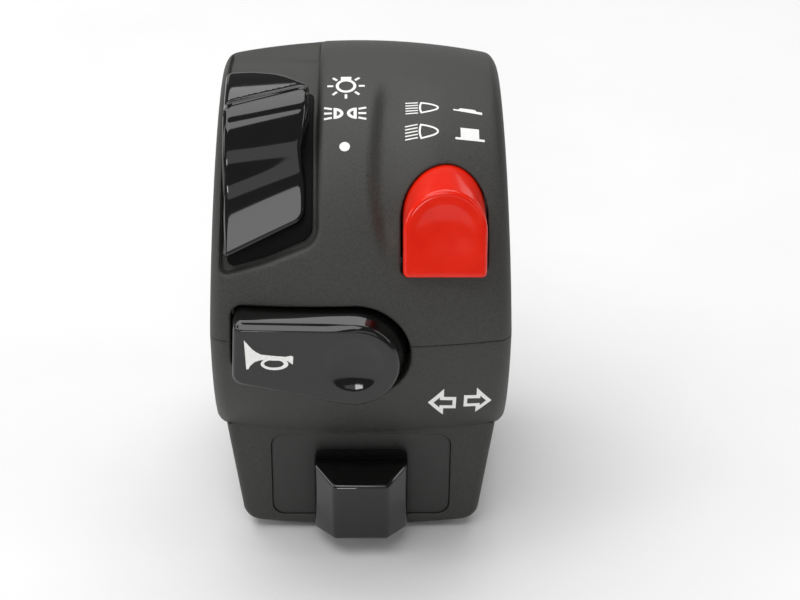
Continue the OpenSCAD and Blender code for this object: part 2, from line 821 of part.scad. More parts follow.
module horn_moving_contact() {
  color("#b8923f")
    rod_y(horn_contact_x, -4, 1.3, horn_base + 0.9, horn_contact_y);
}

module horn_pivot_pin() {
  color("#8d9094")
    translate([horn_px, horn_py, horn_pin_z0])
      cylinder(r = horn_pin_d / 2, h = horn_pin_z1 - horn_pin_z0);
}

module horn_contact_base() {
  color("#6b4a2a")
  difference() {
    union() {
      box([-6.5, bulk_y0 - 2, -11.5], [7, bulk_y0, 2]);
      box([-6, horn_base_y, -6.5], [4.5, bulk_y0, 2]);
    }
    rod_y(horn_contact_x, -4, 0.9, horn_base_y - 1, bulk_y0 + 1);
    rod_y(-3.2, -0.6, 2.3, horn_base_y - 1, horn_base_y + 1.5);
    for (p = horn_screws())
      rod_y(p[0], p[1], 0.8 + pin_fit, bulk_y0 - 3, bulk_y0 + 1);
  }
}

module horn_fixed_contact() {
  color("#b8923f") {
    rod_y(horn_contact_x, -4, 1.3, horn_tip_y, horn_base_y);
    rod_y(horn_contact_x, -4, 0.9, horn_base_y - 0.5, bulk_y1 - 0.2);
  }
}

module horn_base_screws() {
  color("#8d9094")
  wall_screws(horn_screws(), bulk_y0 - 2);
}

// Small screws along Y into the wall across the lower shell
module wall_screws(places, seat_y) {
  for (p = places)
    difference() {
      union() {
        rod_y(p[0], p[1], 1.5, seat_y - 1.1, seat_y);
        rod_y(p[0], p[1], 0.8, seat_y - 0.1, bulk_y1);
      }
      rod_y(p[0], p[1], 0.6, seat_y - 2, seat_y - 0.5);
    }
}

module horn_spring() {
  color("#9a9ca0")
  translate([-3.2, horn_base_y + 1.2, -0.6])
    rotate([90, 0, 0])
      coil(1.8, 0.25, 7, horn_base_y + 1.2 - horn_base + 1.3);
}

// Ring of the turn knob at a depth, as half width and lowest and highest place
function knob_ring(y, half, z0, z1, r) =
  [for (q = rounded(2 * half, z1 - z0, r, [0, (z0 + z1) / 2])) [q[0], y, q[1]]];

module turn_knob() {
  z0 = turn_z - turn_h / 2;
  z1 = turn_z + turn_h / 2;
  mid = -skirt_front - 0.27 * turn_proud;
  color("#141414") {
    loft([knob_ring(knob_back, turn_w / 2, z0, z1, 1),
          knob_ring(mid, turn_w / 2, z0, z1, 1),
          knob_ring(knob_front + 0.7, turn_w / 2 - 2.4, z0 + 1.3, z1 - 1.1, 0.8),
          knob_ring(knob_front, turn_w / 2 - 3.1, z0 + 1.9, z1 - 1.7, 0.6)]);
    box([-stem_hx, knob_back - 1, turn_z - stem_hz], [stem_hx, carriage_y1 - 0.4, turn_z + stem_hz]);
  }
}

module turn_carriage() {
  color("#d8d4c8")
  difference() {
    box([-carriage_hx, carriage_y0, turn_z - carriage_hz], [carriage_hx, carriage_y1, turn_z + carriage_hz]);
    box([-stem_hx, carriage_y0 - 1, turn_z - stem_hz], [stem_hx, carriage_y1 - 0.4, turn_z + stem_hz]);
    for (i = [-1 : 1])
      rod_y(i * turn_travel, turn_z + carriage_hz + 0.3, 0.9, carriage_y0 - 1, carriage_y1 + 1);
  }
}

module turn_bridge() {
  color("#b8923f")
    box([-6, carriage_y1, turn_z - 1.5], [6, carriage_y1 + 0.7, turn_z + 1.5]);
}

module turn_faceplate() {
  color("#262625")
  difference() {
    union() {
      along_y(face_y, face_back)
        polygon(rounded(panel_w, panel_h, 1.9, [0, turn_z + 1.4]));
      along_y(face_back, flange_y)
        polygon(rounded(flange_w, flange_h, 2.5, [0, flange_z]));
    }
    box([-slot_hx, face_y - 1, turn_z - slot_hz], [slot_hx, flange_y + 1, turn_z + slot_hz]);
  }
}

module turn_contact_board() {
  color("#6b4a2a")
  difference() {
    box([-13, board_y0, turn_z - 4.8], [13, bulk_y0, turn_z + 5.7]);
    for (p = turn_screws())
      rod_y(p[0], p[1], 0.8 + pin_fit, board_y0 - 1, bulk_y0 + 1);
    for (x = [-8, 0, 8])
      rod_y(x, turn_z, 0.8, board_y0 - 1, bulk_y0 + 1);
  }
}

module turn_terminals() {
  color("#b8923f")
  for (x = [-8, 0, 8]) {
    rod_y(x, turn_z, 1.3, board_y0 - 0.5, board_y0);
    rod_y(x, turn_z, 0.8, board_y0 - 0.1, bulk_y1 + 1.6);
  }
}

module turn_board_screws() {
  color("#8d9094")
  wall_screws(turn_screws(), board_y0);
}

module turn_detent_spring() {
  color("#9a9ca0")
  along_y(carriage_y0 + 0.3, carriage_y0 + 1.6)
    translate([0, turn_z + carriage_hz + 2.05])
      polygon([[-4.4, 0], [-3.7, 0], [-0.25, -1.9], [0.25, -1.9], [3.7, 0], [4.4, 0],
        [4.4, -0.3], [3.8, -0.3], [0.35, -2.2], [-0.35, -2.2], [-3.8, -0.3], [-4.4, -0.3]]);
}

upper_shell();
lower_shell();
clamp_screws();
clamp_inserts();
cable_grommet();
light_lever();
light_carrier();
light_bridge();
light_contact_board();
light_terminals();
light_board_screws();
light_detent_spring();
dip_button();
dip_plunger();
dip_bridge();
dip_switch_body();
dip_terminals();
dip_body_screws();
dip_spring();
dip_latch_pin();
horn_button();
horn_moving_contact();
horn_pivot_pin();
horn_contact_base();
horn_fixed_contact();
horn_base_screws();
horn_spring();
turn_knob();
turn_carriage();
turn_bridge();
turn_faceplate();
turn_contact_board();
turn_terminals();
turn_board_screws();
turn_detent_spring();
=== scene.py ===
# %% [markdown]
# # A handlebar switch cluster
# This lesson dresses a motorbike's left-hand switch cluster: a split plastic housing on the handlebar, with a
# light lever, a red dip button, a horn button and a sliding turn signal knob. The frame that is loaded first
# holds every solid in its real place, in metres, with the handlebar's axis along X, the rider on the -Y side
# and Z up. Everything made here sits in that same frame.

# %% Load the frame
import json
import math

import bmesh
import bpy
import numpy as np
from mathutils import Matrix, Vector
from mathutils.geometry import delaunay_2d_cdt


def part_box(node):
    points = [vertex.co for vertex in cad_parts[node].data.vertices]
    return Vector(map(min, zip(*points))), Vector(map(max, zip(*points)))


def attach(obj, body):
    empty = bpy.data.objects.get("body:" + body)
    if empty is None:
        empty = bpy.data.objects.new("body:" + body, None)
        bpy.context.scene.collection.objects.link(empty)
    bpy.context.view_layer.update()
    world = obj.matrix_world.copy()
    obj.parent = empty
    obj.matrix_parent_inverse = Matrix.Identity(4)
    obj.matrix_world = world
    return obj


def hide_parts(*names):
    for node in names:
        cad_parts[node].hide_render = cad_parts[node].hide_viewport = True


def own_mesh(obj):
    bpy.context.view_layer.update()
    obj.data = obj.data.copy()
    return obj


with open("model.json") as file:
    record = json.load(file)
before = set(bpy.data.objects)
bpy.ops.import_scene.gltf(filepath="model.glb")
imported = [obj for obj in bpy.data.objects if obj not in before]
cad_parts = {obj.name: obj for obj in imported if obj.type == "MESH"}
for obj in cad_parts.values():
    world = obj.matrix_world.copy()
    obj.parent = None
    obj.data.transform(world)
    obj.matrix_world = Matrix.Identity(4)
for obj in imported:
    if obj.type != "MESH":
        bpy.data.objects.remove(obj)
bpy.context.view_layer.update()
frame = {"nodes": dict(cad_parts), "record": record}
bpy.context.scene.view_settings.view_transform = "Standard"
MM = 0.001
print("solids in the frame:", len(frame["nodes"]))

# %% [markdown]
# ## Outlines
# Moulded parts are mostly an outline with a rounded rim, so flat outlines come first. Each one is an array of
# points in millimetres, listed anticlockwise. They could be drawn as curve objects, but arrays can be moved
# inwards, measured and wrapped round the barrel with plain arithmetic.


# %% Outline helpers
SLIVER = 4e-4


def arc_points(centre, r, a0, a1, n):
    """Points on a circle about a centre: centre plus r times (cos a, sin a), a going evenly from a0 to a1 degrees."""
    a = np.radians(np.linspace(a0, a1, n))
    return np.column_stack([centre[0] + r * np.cos(a), centre[1] + r * np.sin(a)])


def subdivided(loop, step):
    """Splits every side of an outline into equal runs no longer than step: start plus k times side over count."""
    ahead = np.roll(loop, -1, axis=0)
    count = np.maximum(1, np.ceil(np.linalg.norm(ahead - loop, axis=1) / step - 1e-6)).astype(int)
    side = np.repeat((ahead - loop) / count[:, None], count, axis=0)
    k = np.arange(count.sum()) - np.repeat(np.cumsum(count) - count, count)
    return np.repeat(loop, count, axis=0) + side * k[:, None]


def rounded_loop(corners, radii, step=0.4):
    """Straight sides joined by arcs: the arc of radius r at a corner starts r / tan(half the corner) away from it."""
    runs = []
    corners = np.asarray(corners, float)
    for i, r in enumerate(radii):
        c = corners[i]
        back, ahead = corners[i - 1] - c, corners[(i + 1) % len(corners)] - c
        back, ahead = back / np.linalg.norm(back), ahead / np.linalg.norm(ahead)
        half = math.acos(np.clip(np.dot(back, ahead), -1, 1)) / 2
        middle = c + (back + ahead) / np.linalg.norm(back + ahead) * r / math.sin(half)
        foot = c + back * r / math.tan(half) - middle
        sweep = (math.pi - 2 * half) * np.sign(back[1] * ahead[0] - back[0] * ahead[1])
        n = max(4, int(abs(sweep) * r / step * 1.6) + 2)
        a = math.atan2(foot[1], foot[0]) + np.linspace(0, 1, n) * sweep
        runs.append(middle + r * np.column_stack([np.cos(a), np.sin(a)]))
    return subdivided(np.vstack(runs), step)


def slab_loop(half, z0, z1, r):
    """Rectangle from -half to half and from z0 to z1, with its corners rounded to a radius r."""
    return rounded_loop([(-half, z0), (half, z0), (half, z1), (-half, z1)], [r] * 4)


def belt(circles, step=0.4):
    """Outline of a belt pulled round circles (x, z, r): arcs on the circles, joined by their outer tangents."""
    c = np.asarray(circles, float)
    ahead = np.roll(c, -1, axis=0)
    gap = ahead[:, :2] - c[:, :2]
    leave = np.arctan2(gap[:, 1], gap[:, 0]) - np.arccos((c[:, 2] - ahead[:, 2]) / np.linalg.norm(gap, axis=1))
    runs = []
    for (x, z, r), a0, a1 in zip(c, np.roll(leave, 1), leave):
        sweep = (a1 - a0) % (2 * math.pi)
        n = max(6, int(sweep * r / step * 1.4) + 2)
        runs.append(arc_points((x, z), r, math.degrees(a0), math.degrees(a0 + sweep), n))
    return subdivided(np.vstack(runs), step)


def inset(loop, d):
    """Moves an anticlockwise outline inwards by d along the mean of the two side normals at each point."""
    side = np.roll(loop, -1, axis=0) - loop
    side /= np.linalg.norm(side, axis=1)[:, None]
    normal = np.column_stack([-side[:, 1], side[:, 0]])
    mean = normal + np.roll(normal, 1, axis=0)
    mean /= np.linalg.norm(mean, axis=1)[:, None]
    return loop + mean * (d / np.maximum(0.6, (mean * normal).sum(axis=1)))[:, None]


def quarter(r, n):
    """Rounding of radius r in n steps: pairs of r(1 - sin a) and r(1 - cos a), a going from 0 to 90 degrees."""
    a = np.linspace(0, math.pi / 2, n)
    return list(zip(r * (1 - np.sin(a)), r * (1 - np.cos(a))))


def pairs(u, v):
    """Rows of (u, v): one number is repeated for all rows, and a row against a column gives every pair of the two."""
    return np.column_stack([a.ravel() for a in np.broadcast_arrays(u, v)])


def inside(points, loop):
    """True where a ray from the point to the right crosses the outline an odd number of times."""
    a, b = loop, np.roll(loop, -1, axis=0)
    rise = np.where(b[:, 1] == a[:, 1], 1e-12, b[:, 1] - a[:, 1])
    x, y = points[:, 0, None], points[:, 1, None]
    hit = ((a[:, 1] > y) != (b[:, 1] > y)) & (x < (b[:, 0] - a[:, 0]) * (y - a[:, 1]) / rise + a[:, 0])
    return hit.sum(axis=1) % 2 == 1


def clear_of(points, loop, margin):
    """True where the nearest outline point is further than margin, worked out in blocks to save memory."""
    blocks = np.array_split(points, max(1, len(points) * len(loop) // 2000000 + 1))
    far = [((b[:, None, :] - loop[None]) ** 2).sum(axis=2).min(axis=1) > margin ** 2 for b in blocks if len(b)]
    return np.concatenate(far) if far else np.zeros(0, bool)


def seeds(loops, step, margin=0.6):
    """Staggered grid points inside the first outline, outside the others and clear of them all."""
    lo, hi = loops[0].min(axis=0), loops[0].max(axis=0)
    u, v = np.meshgrid(np.arange(lo[0], hi[0] + step, step), np.arange(lo[1], hi[1] + step, step * 0.87))
    u = u + step / 2 * (np.arange(u.shape[0])[:, None] % 2)
    points = np.column_stack([u.ravel(), v.ravel()])
    points = points[inside(points, loops[0])]
    for i, loop in enumerate(loops):
        keep = clear_of(points, loop, margin * step)
        points = points[keep & ~inside(points, loop)] if i else points[keep]
    return points


def fill(loops, inner, paths=()):
    """Triangles between outlines, through the inner points and along open paths, by constrained Delaunay."""
    rows = [*loops, inner, *paths]
    start = np.cumsum([0] + [len(r) for r in rows])
    points = np.vstack(rows)
    edges = []
    for i, loop in enumerate(loops):
        k = np.arange(len(loop))
        edges += (pairs(k, (k + 1) % len(loop)) + start[i]).tolist()
    for i, path in enumerate(paths, len(loops) + 1):
        k = np.arange(len(path) - 1)
        edges += (pairs(k, k + 1) + start[i]).tolist()
    verts, _, tris, source, _, _ = delaunay_2d_cdt(list(map(Vector, points.tolist())), edges, [], 0, 1e-6, True)
    first = np.array([ids[0] if ids else len(points) + i for i, ids in enumerate(source)])
    points = np.vstack([points, np.array(verts)])
    tris = first[np.array(tris)]
    middle = points[tris].mean(axis=1)
    u, v = (points[tris[:, k]] - points[tris[:, 0]] for k in (1, 2))
    twice_area = np.abs(u[:, 0] * v[:, 1] - u[:, 1] * v[:, 0])
    keep = inside(middle, loops[0]) & (twice_area > SLIVER)
    for loop in loops[1:]:
        keep &= ~inside(middle, loop)
    return points, tris[keep]


print("a 10 mm disc fills with", len(fill([arc_points((0, 0), 5, 0, 354, 60)], np.zeros((1, 2)))[1]), "triangles")

# %% [markdown]
# ## Pieces
# A piece is gathered from patches: grids of points, and filled outlines. Points that fall on each other are
# welded, and the normals are turned outwards. The finished mesh sits at the origin with its place in its points,
# as the solids of the frame do, and rides on one of the frame's bodies.


# %% Piece helpers
SHARP_ABOVE, WELD, SPECK = 38, 2e-7, 1e-8


def quads(m, n, closed):
    """Faces of a grid of m rows of n points; closed also joins the last column to the first."""
    i, j = np.meshgrid(np.arange(m - 1), np.arange(n if closed else n - 1), indexing="ij")
    k = (j + 1) % n
    return np.stack([i * n + j, i * n + k, (i + 1) * n + k, (i + 1) * n + j], axis=-1).reshape(-1, 4)


def read(items, key, width=3):
    """One property of every point or face of a mesh, as an array with a row for each."""
    values = np.zeros(len(items) * width)
    items.foreach_get(key, values)
    return values.reshape(-1, width)


def heights(height, points):
    """A height for every point: one number for all of them, or a function of their places."""
    return height(points) if callable(height) else np.full(len(points), float(height))


class Patchwork:
    """Points in millimetres and faces of one piece, gathered patch by patch."""

    def __init__(self):
        self.points, self.faces, self.count = [], [], 0

    def add(self, points, faces):
        """Takes one patch: its points, and its faces as rows of indices into those points."""
        faces = np.asarray(faces)
        used, slim = np.unique(faces, return_inverse=True)
        self.points.append(np.asarray(points, float)[used])
        self.faces += (slim.reshape(faces.shape) + self.count).tolist()
        self.count += len(used)

    def grid(self, rows, closed=False):
        """Takes a grid of points, rows by columns, joined by quads."""
        self.add(rows.reshape(-1, 3), quads(*rows.shape[:2], closed))

    def tube(self, rows):
        """Takes a closed grid of rings, and fills its first and its last ring with one face each."""
        n = rows.shape[1]
        self.grid(rows, closed=True)
        self.add(rows[[0, -1]].reshape(-1, 3), [[0, *range(n - 1, 0, -1)], list(range(n, 2 * n))])
        return self

    def cap(self, loops, step, place, height, back=False):
        """Fills outlines with points a step apart and lays them at a height; back turns the faces round."""
        flat, tris = fill(loops, seeds(loops, step))
        self.add(place(flat, heights(height, flat)), tris[:, ::-1] if back else tris)

    def mesh(self, name, outward=None):
        """Welds the patches; outward, a function of points, gives a direction that the normals agree with."""
        bm = bmesh.new()
        mesh = bpy.data.meshes.new(name)
        mesh.from_pydata((np.vstack(self.points) * MM).tolist(), [], self.faces)
        bm.from_mesh(mesh)
        bmesh.ops.remove_doubles(bm, verts=bm.verts, dist=WELD)
        bmesh.ops.dissolve_degenerate(bm, dist=SPECK, edges=bm.edges)
        bmesh.ops.recalc_face_normals(bm, faces=bm.faces)
        bm.to_mesh(mesh)
        bm.free()
        if outward is not None:
            middle, normal, area = (read(mesh.polygons, *key) for key in (["center"], ["normal"], ["area", 1]))
            if (outward(middle / MM) * normal * area).sum() < 0:
                mesh.flip_normals()
        return mesh


def piece(name, work, body, slot, nodes=(), material=None):
    """Makes the object from patches or a finished mesh: smooth faces with sharp edges above an angle, a material, the
    body it rides on and the nodes it stands for."""
    mesh = work.mesh(name) if isinstance(work, Patchwork) else work
    obj = bpy.data.objects.new(name, mesh)
    bpy.context.collection.objects.link(obj)
    mesh.materials.append(material or SLOTS[slot])
    mesh.polygons.foreach_set("use_smooth", np.ones(len(mesh.polygons), bool))
    mesh.set_sharp_from_angle(angle=math.radians(SHARP_ABOVE))
    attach(obj, body)
    if nodes:
        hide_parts(*nodes)
    triangles = len(mesh.loops) - 2 * len(mesh.polygons)
    print(f"{name}: {len(mesh.vertices)} points, {triangles} triangles, rides on {body}")
    return obj


def thickened(mesh, t, held):
    """Closes an open skin into a wall: each point also t millimetres behind its normal, where held keeps it inside
    the piece, and the open rims joined by quads."""
    n, outer = len(mesh.vertices), read(mesh.vertices, "co") / MM
    faces = [list(p.vertices) for p in mesh.polygons]
    edge = np.array([(a, b) for f in faces for a, b in zip(f, f[1:] + f[:1])])
    _, where, times = np.unique(np.sort(edge, axis=1), axis=0, return_inverse=True, return_counts=True)
    rim = edge[times[where.ravel()] == 1]
    work = Patchwork()
    work.points = [outer, held(outer - read(mesh.vertices, "normal") * t)]
    work.faces = faces + [[v + n for v in reversed(f)] for f in faces]
    work.faces += np.column_stack([rim[:, ::-1], rim + n]).tolist()
    work.count = 2 * n
    return work


def moulded(loop, top, base, place, fillet, step, rings, paths=()):
    """Closed cap on an outline: top height, a quarter circle of radius fillet over the rim, a wall, a flat base.
    Ring k of the rim is inset by r(1 - sin a) and lies r(1 - cos a) below the top, a going from 0 to 90 degrees.
    Paths are open rows of points that the top's triangles follow, where it has a fine line."""
    work = Patchwork()
    rows = []
    for d, low in quarter(fillet, rings + 1):
        ring = inset(loop, d)
        high = heights(top, ring)
        room = np.clip((high - heights(base, ring)) / (1.6 * fillet), 0, 1)
        rows.append(place(ring, high - low * room))
    rows.append(place(loop, heights(base, loop)))
    work.grid(np.stack(rows), closed=True)
    rim = inset(loop, fillet)
    paths = [p[inside(p, rim) & clear_of(p, rim, 0.12)] for p in paths]
    inner = seeds([rim], step)
    for p in paths:
        inner = inner[clear_of(inner, p, 0.7 * step)]
    flat, tris = fill([rim], inner, paths)
    work.add(place(flat, heights(top, flat)), tris)
    work.cap([loop], max(1.2, step), place, base, True)
    return work


def facing(points, height):
    """Flat outlines that face the rider: (x, z) stay, and height is measured towards -Y."""
    return np.column_stack([points[:, 0], -np.broadcast_to(height, len(points)), points[:, 1]])


def smoothstep(lo, hi, v):
    """Zero below lo, one above hi, and 3t^2 - 2t^3 between them."""
    t = np.clip((v - lo) / (hi - lo), 0, 1)
    return t * t * (3 - 2 * t)


def soft_min(a, b, k):
    """Lower of two heights with a rounded corner: half of a + b less the root of (a - b)^2 + k^2."""
    return (a + b - np.sqrt((a - b) ** 2 + k * k)) / 2


print("piece helpers ready")

# %% [markdown]
# ## Finishes
# Each finish starts from the real material: what it is and how its surface was made. Colours are written as
# they look on a screen and turned to linear light in one place. Patterns read Object coordinates, which are
# metres here, so a grain of 0.3 mm is a scale of about 1 / 0.0003.


# %% Colour and node helpers
GRAIN_SPAN = (0.3, 0.7)


def linear(hex_colour):
    """Screen colour to linear light: c / 12.92 below 0.04045, else ((c + 0.055) / 1.055) to the power 2.4."""
    c = np.array([int(hex_colour[i:i + 2], 16) for i in (1, 3, 5)]) / 255
    return (*np.where(c <= 0.04045, c / 12.92, ((c + 0.055) / 1.055) ** 2.4), 1.0)


def node(tree, kind, links=(), **settings):
    """Adds one node; settings name its properties or inputs, and links pair an input with another node's output."""
    made = tree.nodes.new(kind)
    for key, value in settings.items():
        if hasattr(made, key):
            setattr(made, key, value)
        else:
            made.inputs[key.replace("_", " ")].default_value = value
    for key, source in links:
        tree.links.new(source, made.inputs[key])
    return made


def finish(name, colours, rough, grain_mm, bump_mm=0.0, stretch=(1, 1, 1), **shader):
    """A moulded or drawn surface: noise of one grain size mixes two colours and two roughnesses and dents it."""
    material = bpy.data.materials.new(name)
    material.use_nodes = True
    tree = material.node_tree
    bsdf = tree.nodes["Principled BSDF"]
    where = node(tree, "ShaderNodeTexCoord")
    turn = node(tree, "ShaderNodeMapping", [("Vector", where.outputs["Object"])], Scale=stretch)
    grain = node(tree, "ShaderNodeTexNoise", [("Vector", turn.outputs["Vector"])],
                 Scale=1 / (grain_mm * MM), Detail=4.0, Roughness=0.55)
    tint = node(tree, "ShaderNodeValToRGB", [("Fac", grain.outputs["Fac"])])
    for stop, share, colour in zip(tint.color_ramp.elements, GRAIN_SPAN, colours):
        stop.position, stop.color = share, linear(colour)
    tree.links.new(tint.outputs["Color"], bsdf.inputs["Base Color"])
    polish = node(tree, "ShaderNodeMapRange", [("Value", grain.outputs["Fac"])],
                  From_Min=GRAIN_SPAN[0], From_Max=GRAIN_SPAN[1], To_Min=rough[0], To_Max=rough[1])
    tree.links.new(polish.outputs["Result"], bsdf.inputs["Roughness"])
    if bump_mm:
        dent = node(tree, "ShaderNodeBump", [("Height", grain.outputs["Fac"])], Strength=1.0, Distance=bump_mm * MM)
        tree.links.new(dent.outputs["Normal"], bsdf.inputs["Normal"])
    for key, value in shader.items():
        bsdf.inputs[key.replace("_", " ")].default_value = value
    return material


print("mid grey in linear light:", round(linear("#808080")[0], 3))

# %% [markdown]
# The housing is glass-filled nylon moulded in a spark-eroded tool, which leaves a fine even grain and a soft
# sheen. The controls are polished black and red ABS. The symbols are pad-printed white ink. Behind the
# controls are natural acetal, brown paper laminate, brass, zinc plated screws, spring wire and soft rubber.

# %% Finishes of the cluster
grained_nylon = finish("grained_nylon_black", ("#222220", "#3B3B37"), (0.46, 0.64), 0.24, 0.06)
smooth_nylon = finish("smooth_nylon_black", ("#292928", "#302F2E"), (0.46, 0.55), 0.5, 0.008)
polished_black = finish("polished_abs_black", ("#0A0A0A", "#0D0D0C"), (0.05, 0.08), 3.0, 0.0, IOR=1.5,
                        Specular_IOR_Level=0.62)
polished_red = finish("polished_abs_red", ("#E4200C", "#EA260F"), (0.1, 0.15), 2.5, 0.003, IOR=1.5,
                      Specular_IOR_Level=0.34)
# Black nylon darkened well below the housing's own black, with little sheen: painted shade for the deep gap beside the
# lever, also used on the cover behind the faceplate's slot.
shade_painted_black = finish("nylon_black_painted_shade", ("#070707", "#0B0B0A"), (0.6, 0.7), 0.4, 0.006, Specular_IOR_Level=0.12)
white_ink = finish("pad_printed_white_ink", ("#EDEDEA", "#FAFAF8"), (0.5, 0.6), 0.4, 0.004)
acetal = finish("natural_acetal", ("#D5D0C2", "#DEDACD"), (0.35, 0.45), 1.2, 0.006)
laminate = finish("paper_laminate_brown", ("#5C3B1E", "#6F4A28"), (0.5, 0.65), 0.5, 0.01, (1, 6, 1))
brass = finish("stamped_brass", ("#B08A3A", "#C49D4B"), (0.28, 0.4), 0.6, 0.004, (1, 1, 8), Metallic=1.0)
zinc = finish("zinc_plated_steel", ("#8E9296", "#A4A8AC"), (0.3, 0.42), 0.4, 0.004, Metallic=1.0)
spring_wire = finish("drawn_spring_steel", ("#84878B", "#9A9DA1"), (0.25, 0.36), 0.3, 0.003, Metallic=1.0)
soft_rubber = finish("moulded_rubber_black", ("#171716", "#1F1F1E"), (0.7, 0.8), 0.4, 0.01)
SLOTS = {"natural_plastic": acetal, "board_plastic": laminate, "brass": brass, "zinc_steel": zinc,
         "spring_steel": spring_wire, "grommet_rubber": soft_rubber, "housing_plastic": grained_nylon,
         "panel_plastic": smooth_nylon, "gloss_black": polished_black, "gloss_red": polished_red}
for part in frame["record"]["subparts"]:
    solid = frame["nodes"][part["node"]].data
    solid.materials.clear()
    solid.materials.append(SLOTS[part["material_slot"]])
print("finishes:", len(SLOTS) + 1)

# %% [markdown]
# ## The housing's skin
# The barrel is a cylinder about the handlebar, slightly crowned across its width, with rounded end edges. One
# function gives the skin: w runs across the width and then over the end edge, s runs round the front from the
# parting line, and a height is added outwards. Everything on the barrel is placed with it: the lever's
# channel, the openings, the swept crease beside the light symbols, and the printing.

# %% Skin of the barrel
HALF_W, BARREL_R, CROWN_R, EDGE_R = 21.25, 30.5, 100.0, 2.0
BORE_R, BACK_Y, BACK_R, LIP_Z, LIP_R, WALL, DRAFT = 11.1, 20.0, 8.0, -18.5, 1.3, 1.9, 0.04
FLOOR_R, CHANNEL_END = 27.3, (106.0, 118.0)
CLAMPS, BOSS_R, HEAD_R = [(-11.0, 15.0), (11.0, 15.0)], 4.2, 3.55
FLAT_W = HALF_W - EDGE_R
END_W = FLAT_W + EDGE_R * math.pi / 2
BACK_A = 180 - math.degrees(math.acos((BACK_Y - BACK_R) / (BARREL_R - BACK_R)))
BACK_Z = math.sqrt((BARREL_R - BACK_R) ** 2 - (BACK_Y - BACK_R) ** 2)
CREASE_DEPTH, CREASE_A = 0.95, 44


def along(degrees):
    """Length along the skin from the parting line to an angle above it."""
    return BARREL_R * np.radians(degrees)


def over_edge(w):
    """Angle turned over the rounded end edge: nought on the crown, then the length past it over the edge's radius."""
    return np.clip(np.abs(w) - FLAT_W, 0, None) / EDGE_R


def width_at(w):
    """Place across the width: w itself on the crown, then r sin(a) more over the end edge."""
    return np.sign(w) * (np.minimum(np.abs(w), FLAT_W) + EDGE_R * np.sin(over_edge(w)))


def drop_at(w):
    """How far the skin lies below the barrel's radius: the crown's sagitta plus r(1 - cos a) over the end edge."""
    return CROWN_R - np.sqrt(CROWN_R ** 2 - width_at(w) ** 2) + EDGE_R * (1 - np.cos(over_edge(w)))


def crease(x, a):
    """Step down to the right of a swept line, x = 1.2 + 2 times the 1.5th power of the share of the way from 44
    degrees to 20 or 90. It is deepest in the middle and fades at its ends and to the right."""
    line = 1.2 + 2 * (np.abs(a - CREASE_A) / np.where(a < CREASE_A, 24, 46)) ** 1.5
    deep = CREASE_DEPTH * smoothstep(22, 36, a) * (1 - smoothstep(66, 82, a))
    return -deep * smoothstep(-0.4, 1.45, x - line) * (1 - smoothstep(1.4, 9.5, x - line))


def radius_at(w, s):
    """Radius of the skin at a place on it."""
    a = np.degrees(s / BARREL_R)
    return BARREL_R - drop_at(w) + crease(width_at(w), a)


def drafted(points):
    """Draft of the upper half: the ends lean in by 0.04 mm for each mm of height, and the lean fades away from them."""
    x, z = points[:, 0], points[:, 2]
    lean = DRAFT * np.clip(z, 0, None) * smoothstep(18.4, 21.6, np.abs(x)) ** 0.6
    return points - np.outer(np.sign(x) * lean, [1, 0, 0])


def at_radius(w, s, r):
    """Point at a radius about the handlebar: (x, -r cos a, r sin a)."""
    a = s / BARREL_R
    return drafted(np.column_stack([width_at(w), -r * np.cos(a), r * np.sin(a)]))


def on_skin(place, height=0.0):
    """Point of the skin at (w, s), raised by a height."""
    w, s = place[:, 0], place[:, 1]
    return at_radius(w, s, radius_at(w, s) + height)


def seen_along_y(outline):
    """Where an outline in (x, z) meets the skin, as (w, s): the angle's sine is z over the skin's radius."""
    r = radius_at(outline[:, 0], 0 * outline[:, 0])
    for _ in range(3):
        s = BARREL_R * np.arcsin(outline[:, 1] / r)
        r = radius_at(outline[:, 0], s)
    return np.column_stack([outline[:, 0], s])


print("skin meets the back's rounding at", round(BACK_A, 1), "degrees")

# %% [markdown]
# ## Openings in the skin
# Three outlines break the skin: the lever's channel, which is a recess with a floor, and the openings for the
# dip button and the horn button, which go through. A modeller could cut them with booleans and bevel the edges,
# but bevels on curved cuts often tear. Here each edge is a row of rings: a quarter circle from the skin into the
# wall, so the edge is round by construction.

# %% Outlines of the openings
DIP_X, DIP_Z0, DIP_ZC, DIP_R, PLAY = 11.5, 10.75, 16.9, 5.75, 0.3
CHANNEL = [(-19.65, 19.5), (-13.2, 23.1), (-5.9, 28.8), (-5.9, 119.6), (-19.65, 119.6)]
CHANNEL_RIM, DIP_RIM, HORN_RIM = 0.8, 0.25, 0.35
HORN_BASE = np.array([(-16.1, -3.05, 1.9), (-0.85, -1.5, 7.3), (-16.3, 4.0, 1.45)])
HORN_FRONT = np.array([(-16.2, -3.05, 1.7), (-1.1, -1.55, 6.55), (-16.3, 4.0, 1.3)])
HORN_PLAY = [(0, 0, 0.22), (0, 0, 0.5), (0, 0, 0.3)]


def arch(grow, corner):
    """Outline of the dip button: flat foot with small corners, upright sides and a half circle on top."""
    r = DIP_R + grow
    top = arc_points((DIP_X, DIP_ZC), r, 0, 180, 40)
    right = arc_points((DIP_X + r - corner, DIP_Z0 - grow + corner), corner, -90, 0, 6)
    left = arc_points((DIP_X - r + corner, DIP_Z0 - grow + corner), corner, 180, 270, 6)
    return subdivided(np.vstack([right, top, left]), 0.4)


def with_level(loop):
    """Adds the points where an outline crosses level 0, at the share of each side where the height is nought."""
    ahead = np.roll(loop, -1, axis=0)
    cross = np.nonzero(loop[:, 1] * ahead[:, 1] < 0)[0]
    t = loop[cross, 1] / (loop[cross, 1] - ahead[cross, 1])
    extra = loop[cross] + (ahead[cross] - loop[cross]) * t[:, None]
    extra[:, 1] = 0
    return np.insert(loop, cross + 1, extra, axis=0)


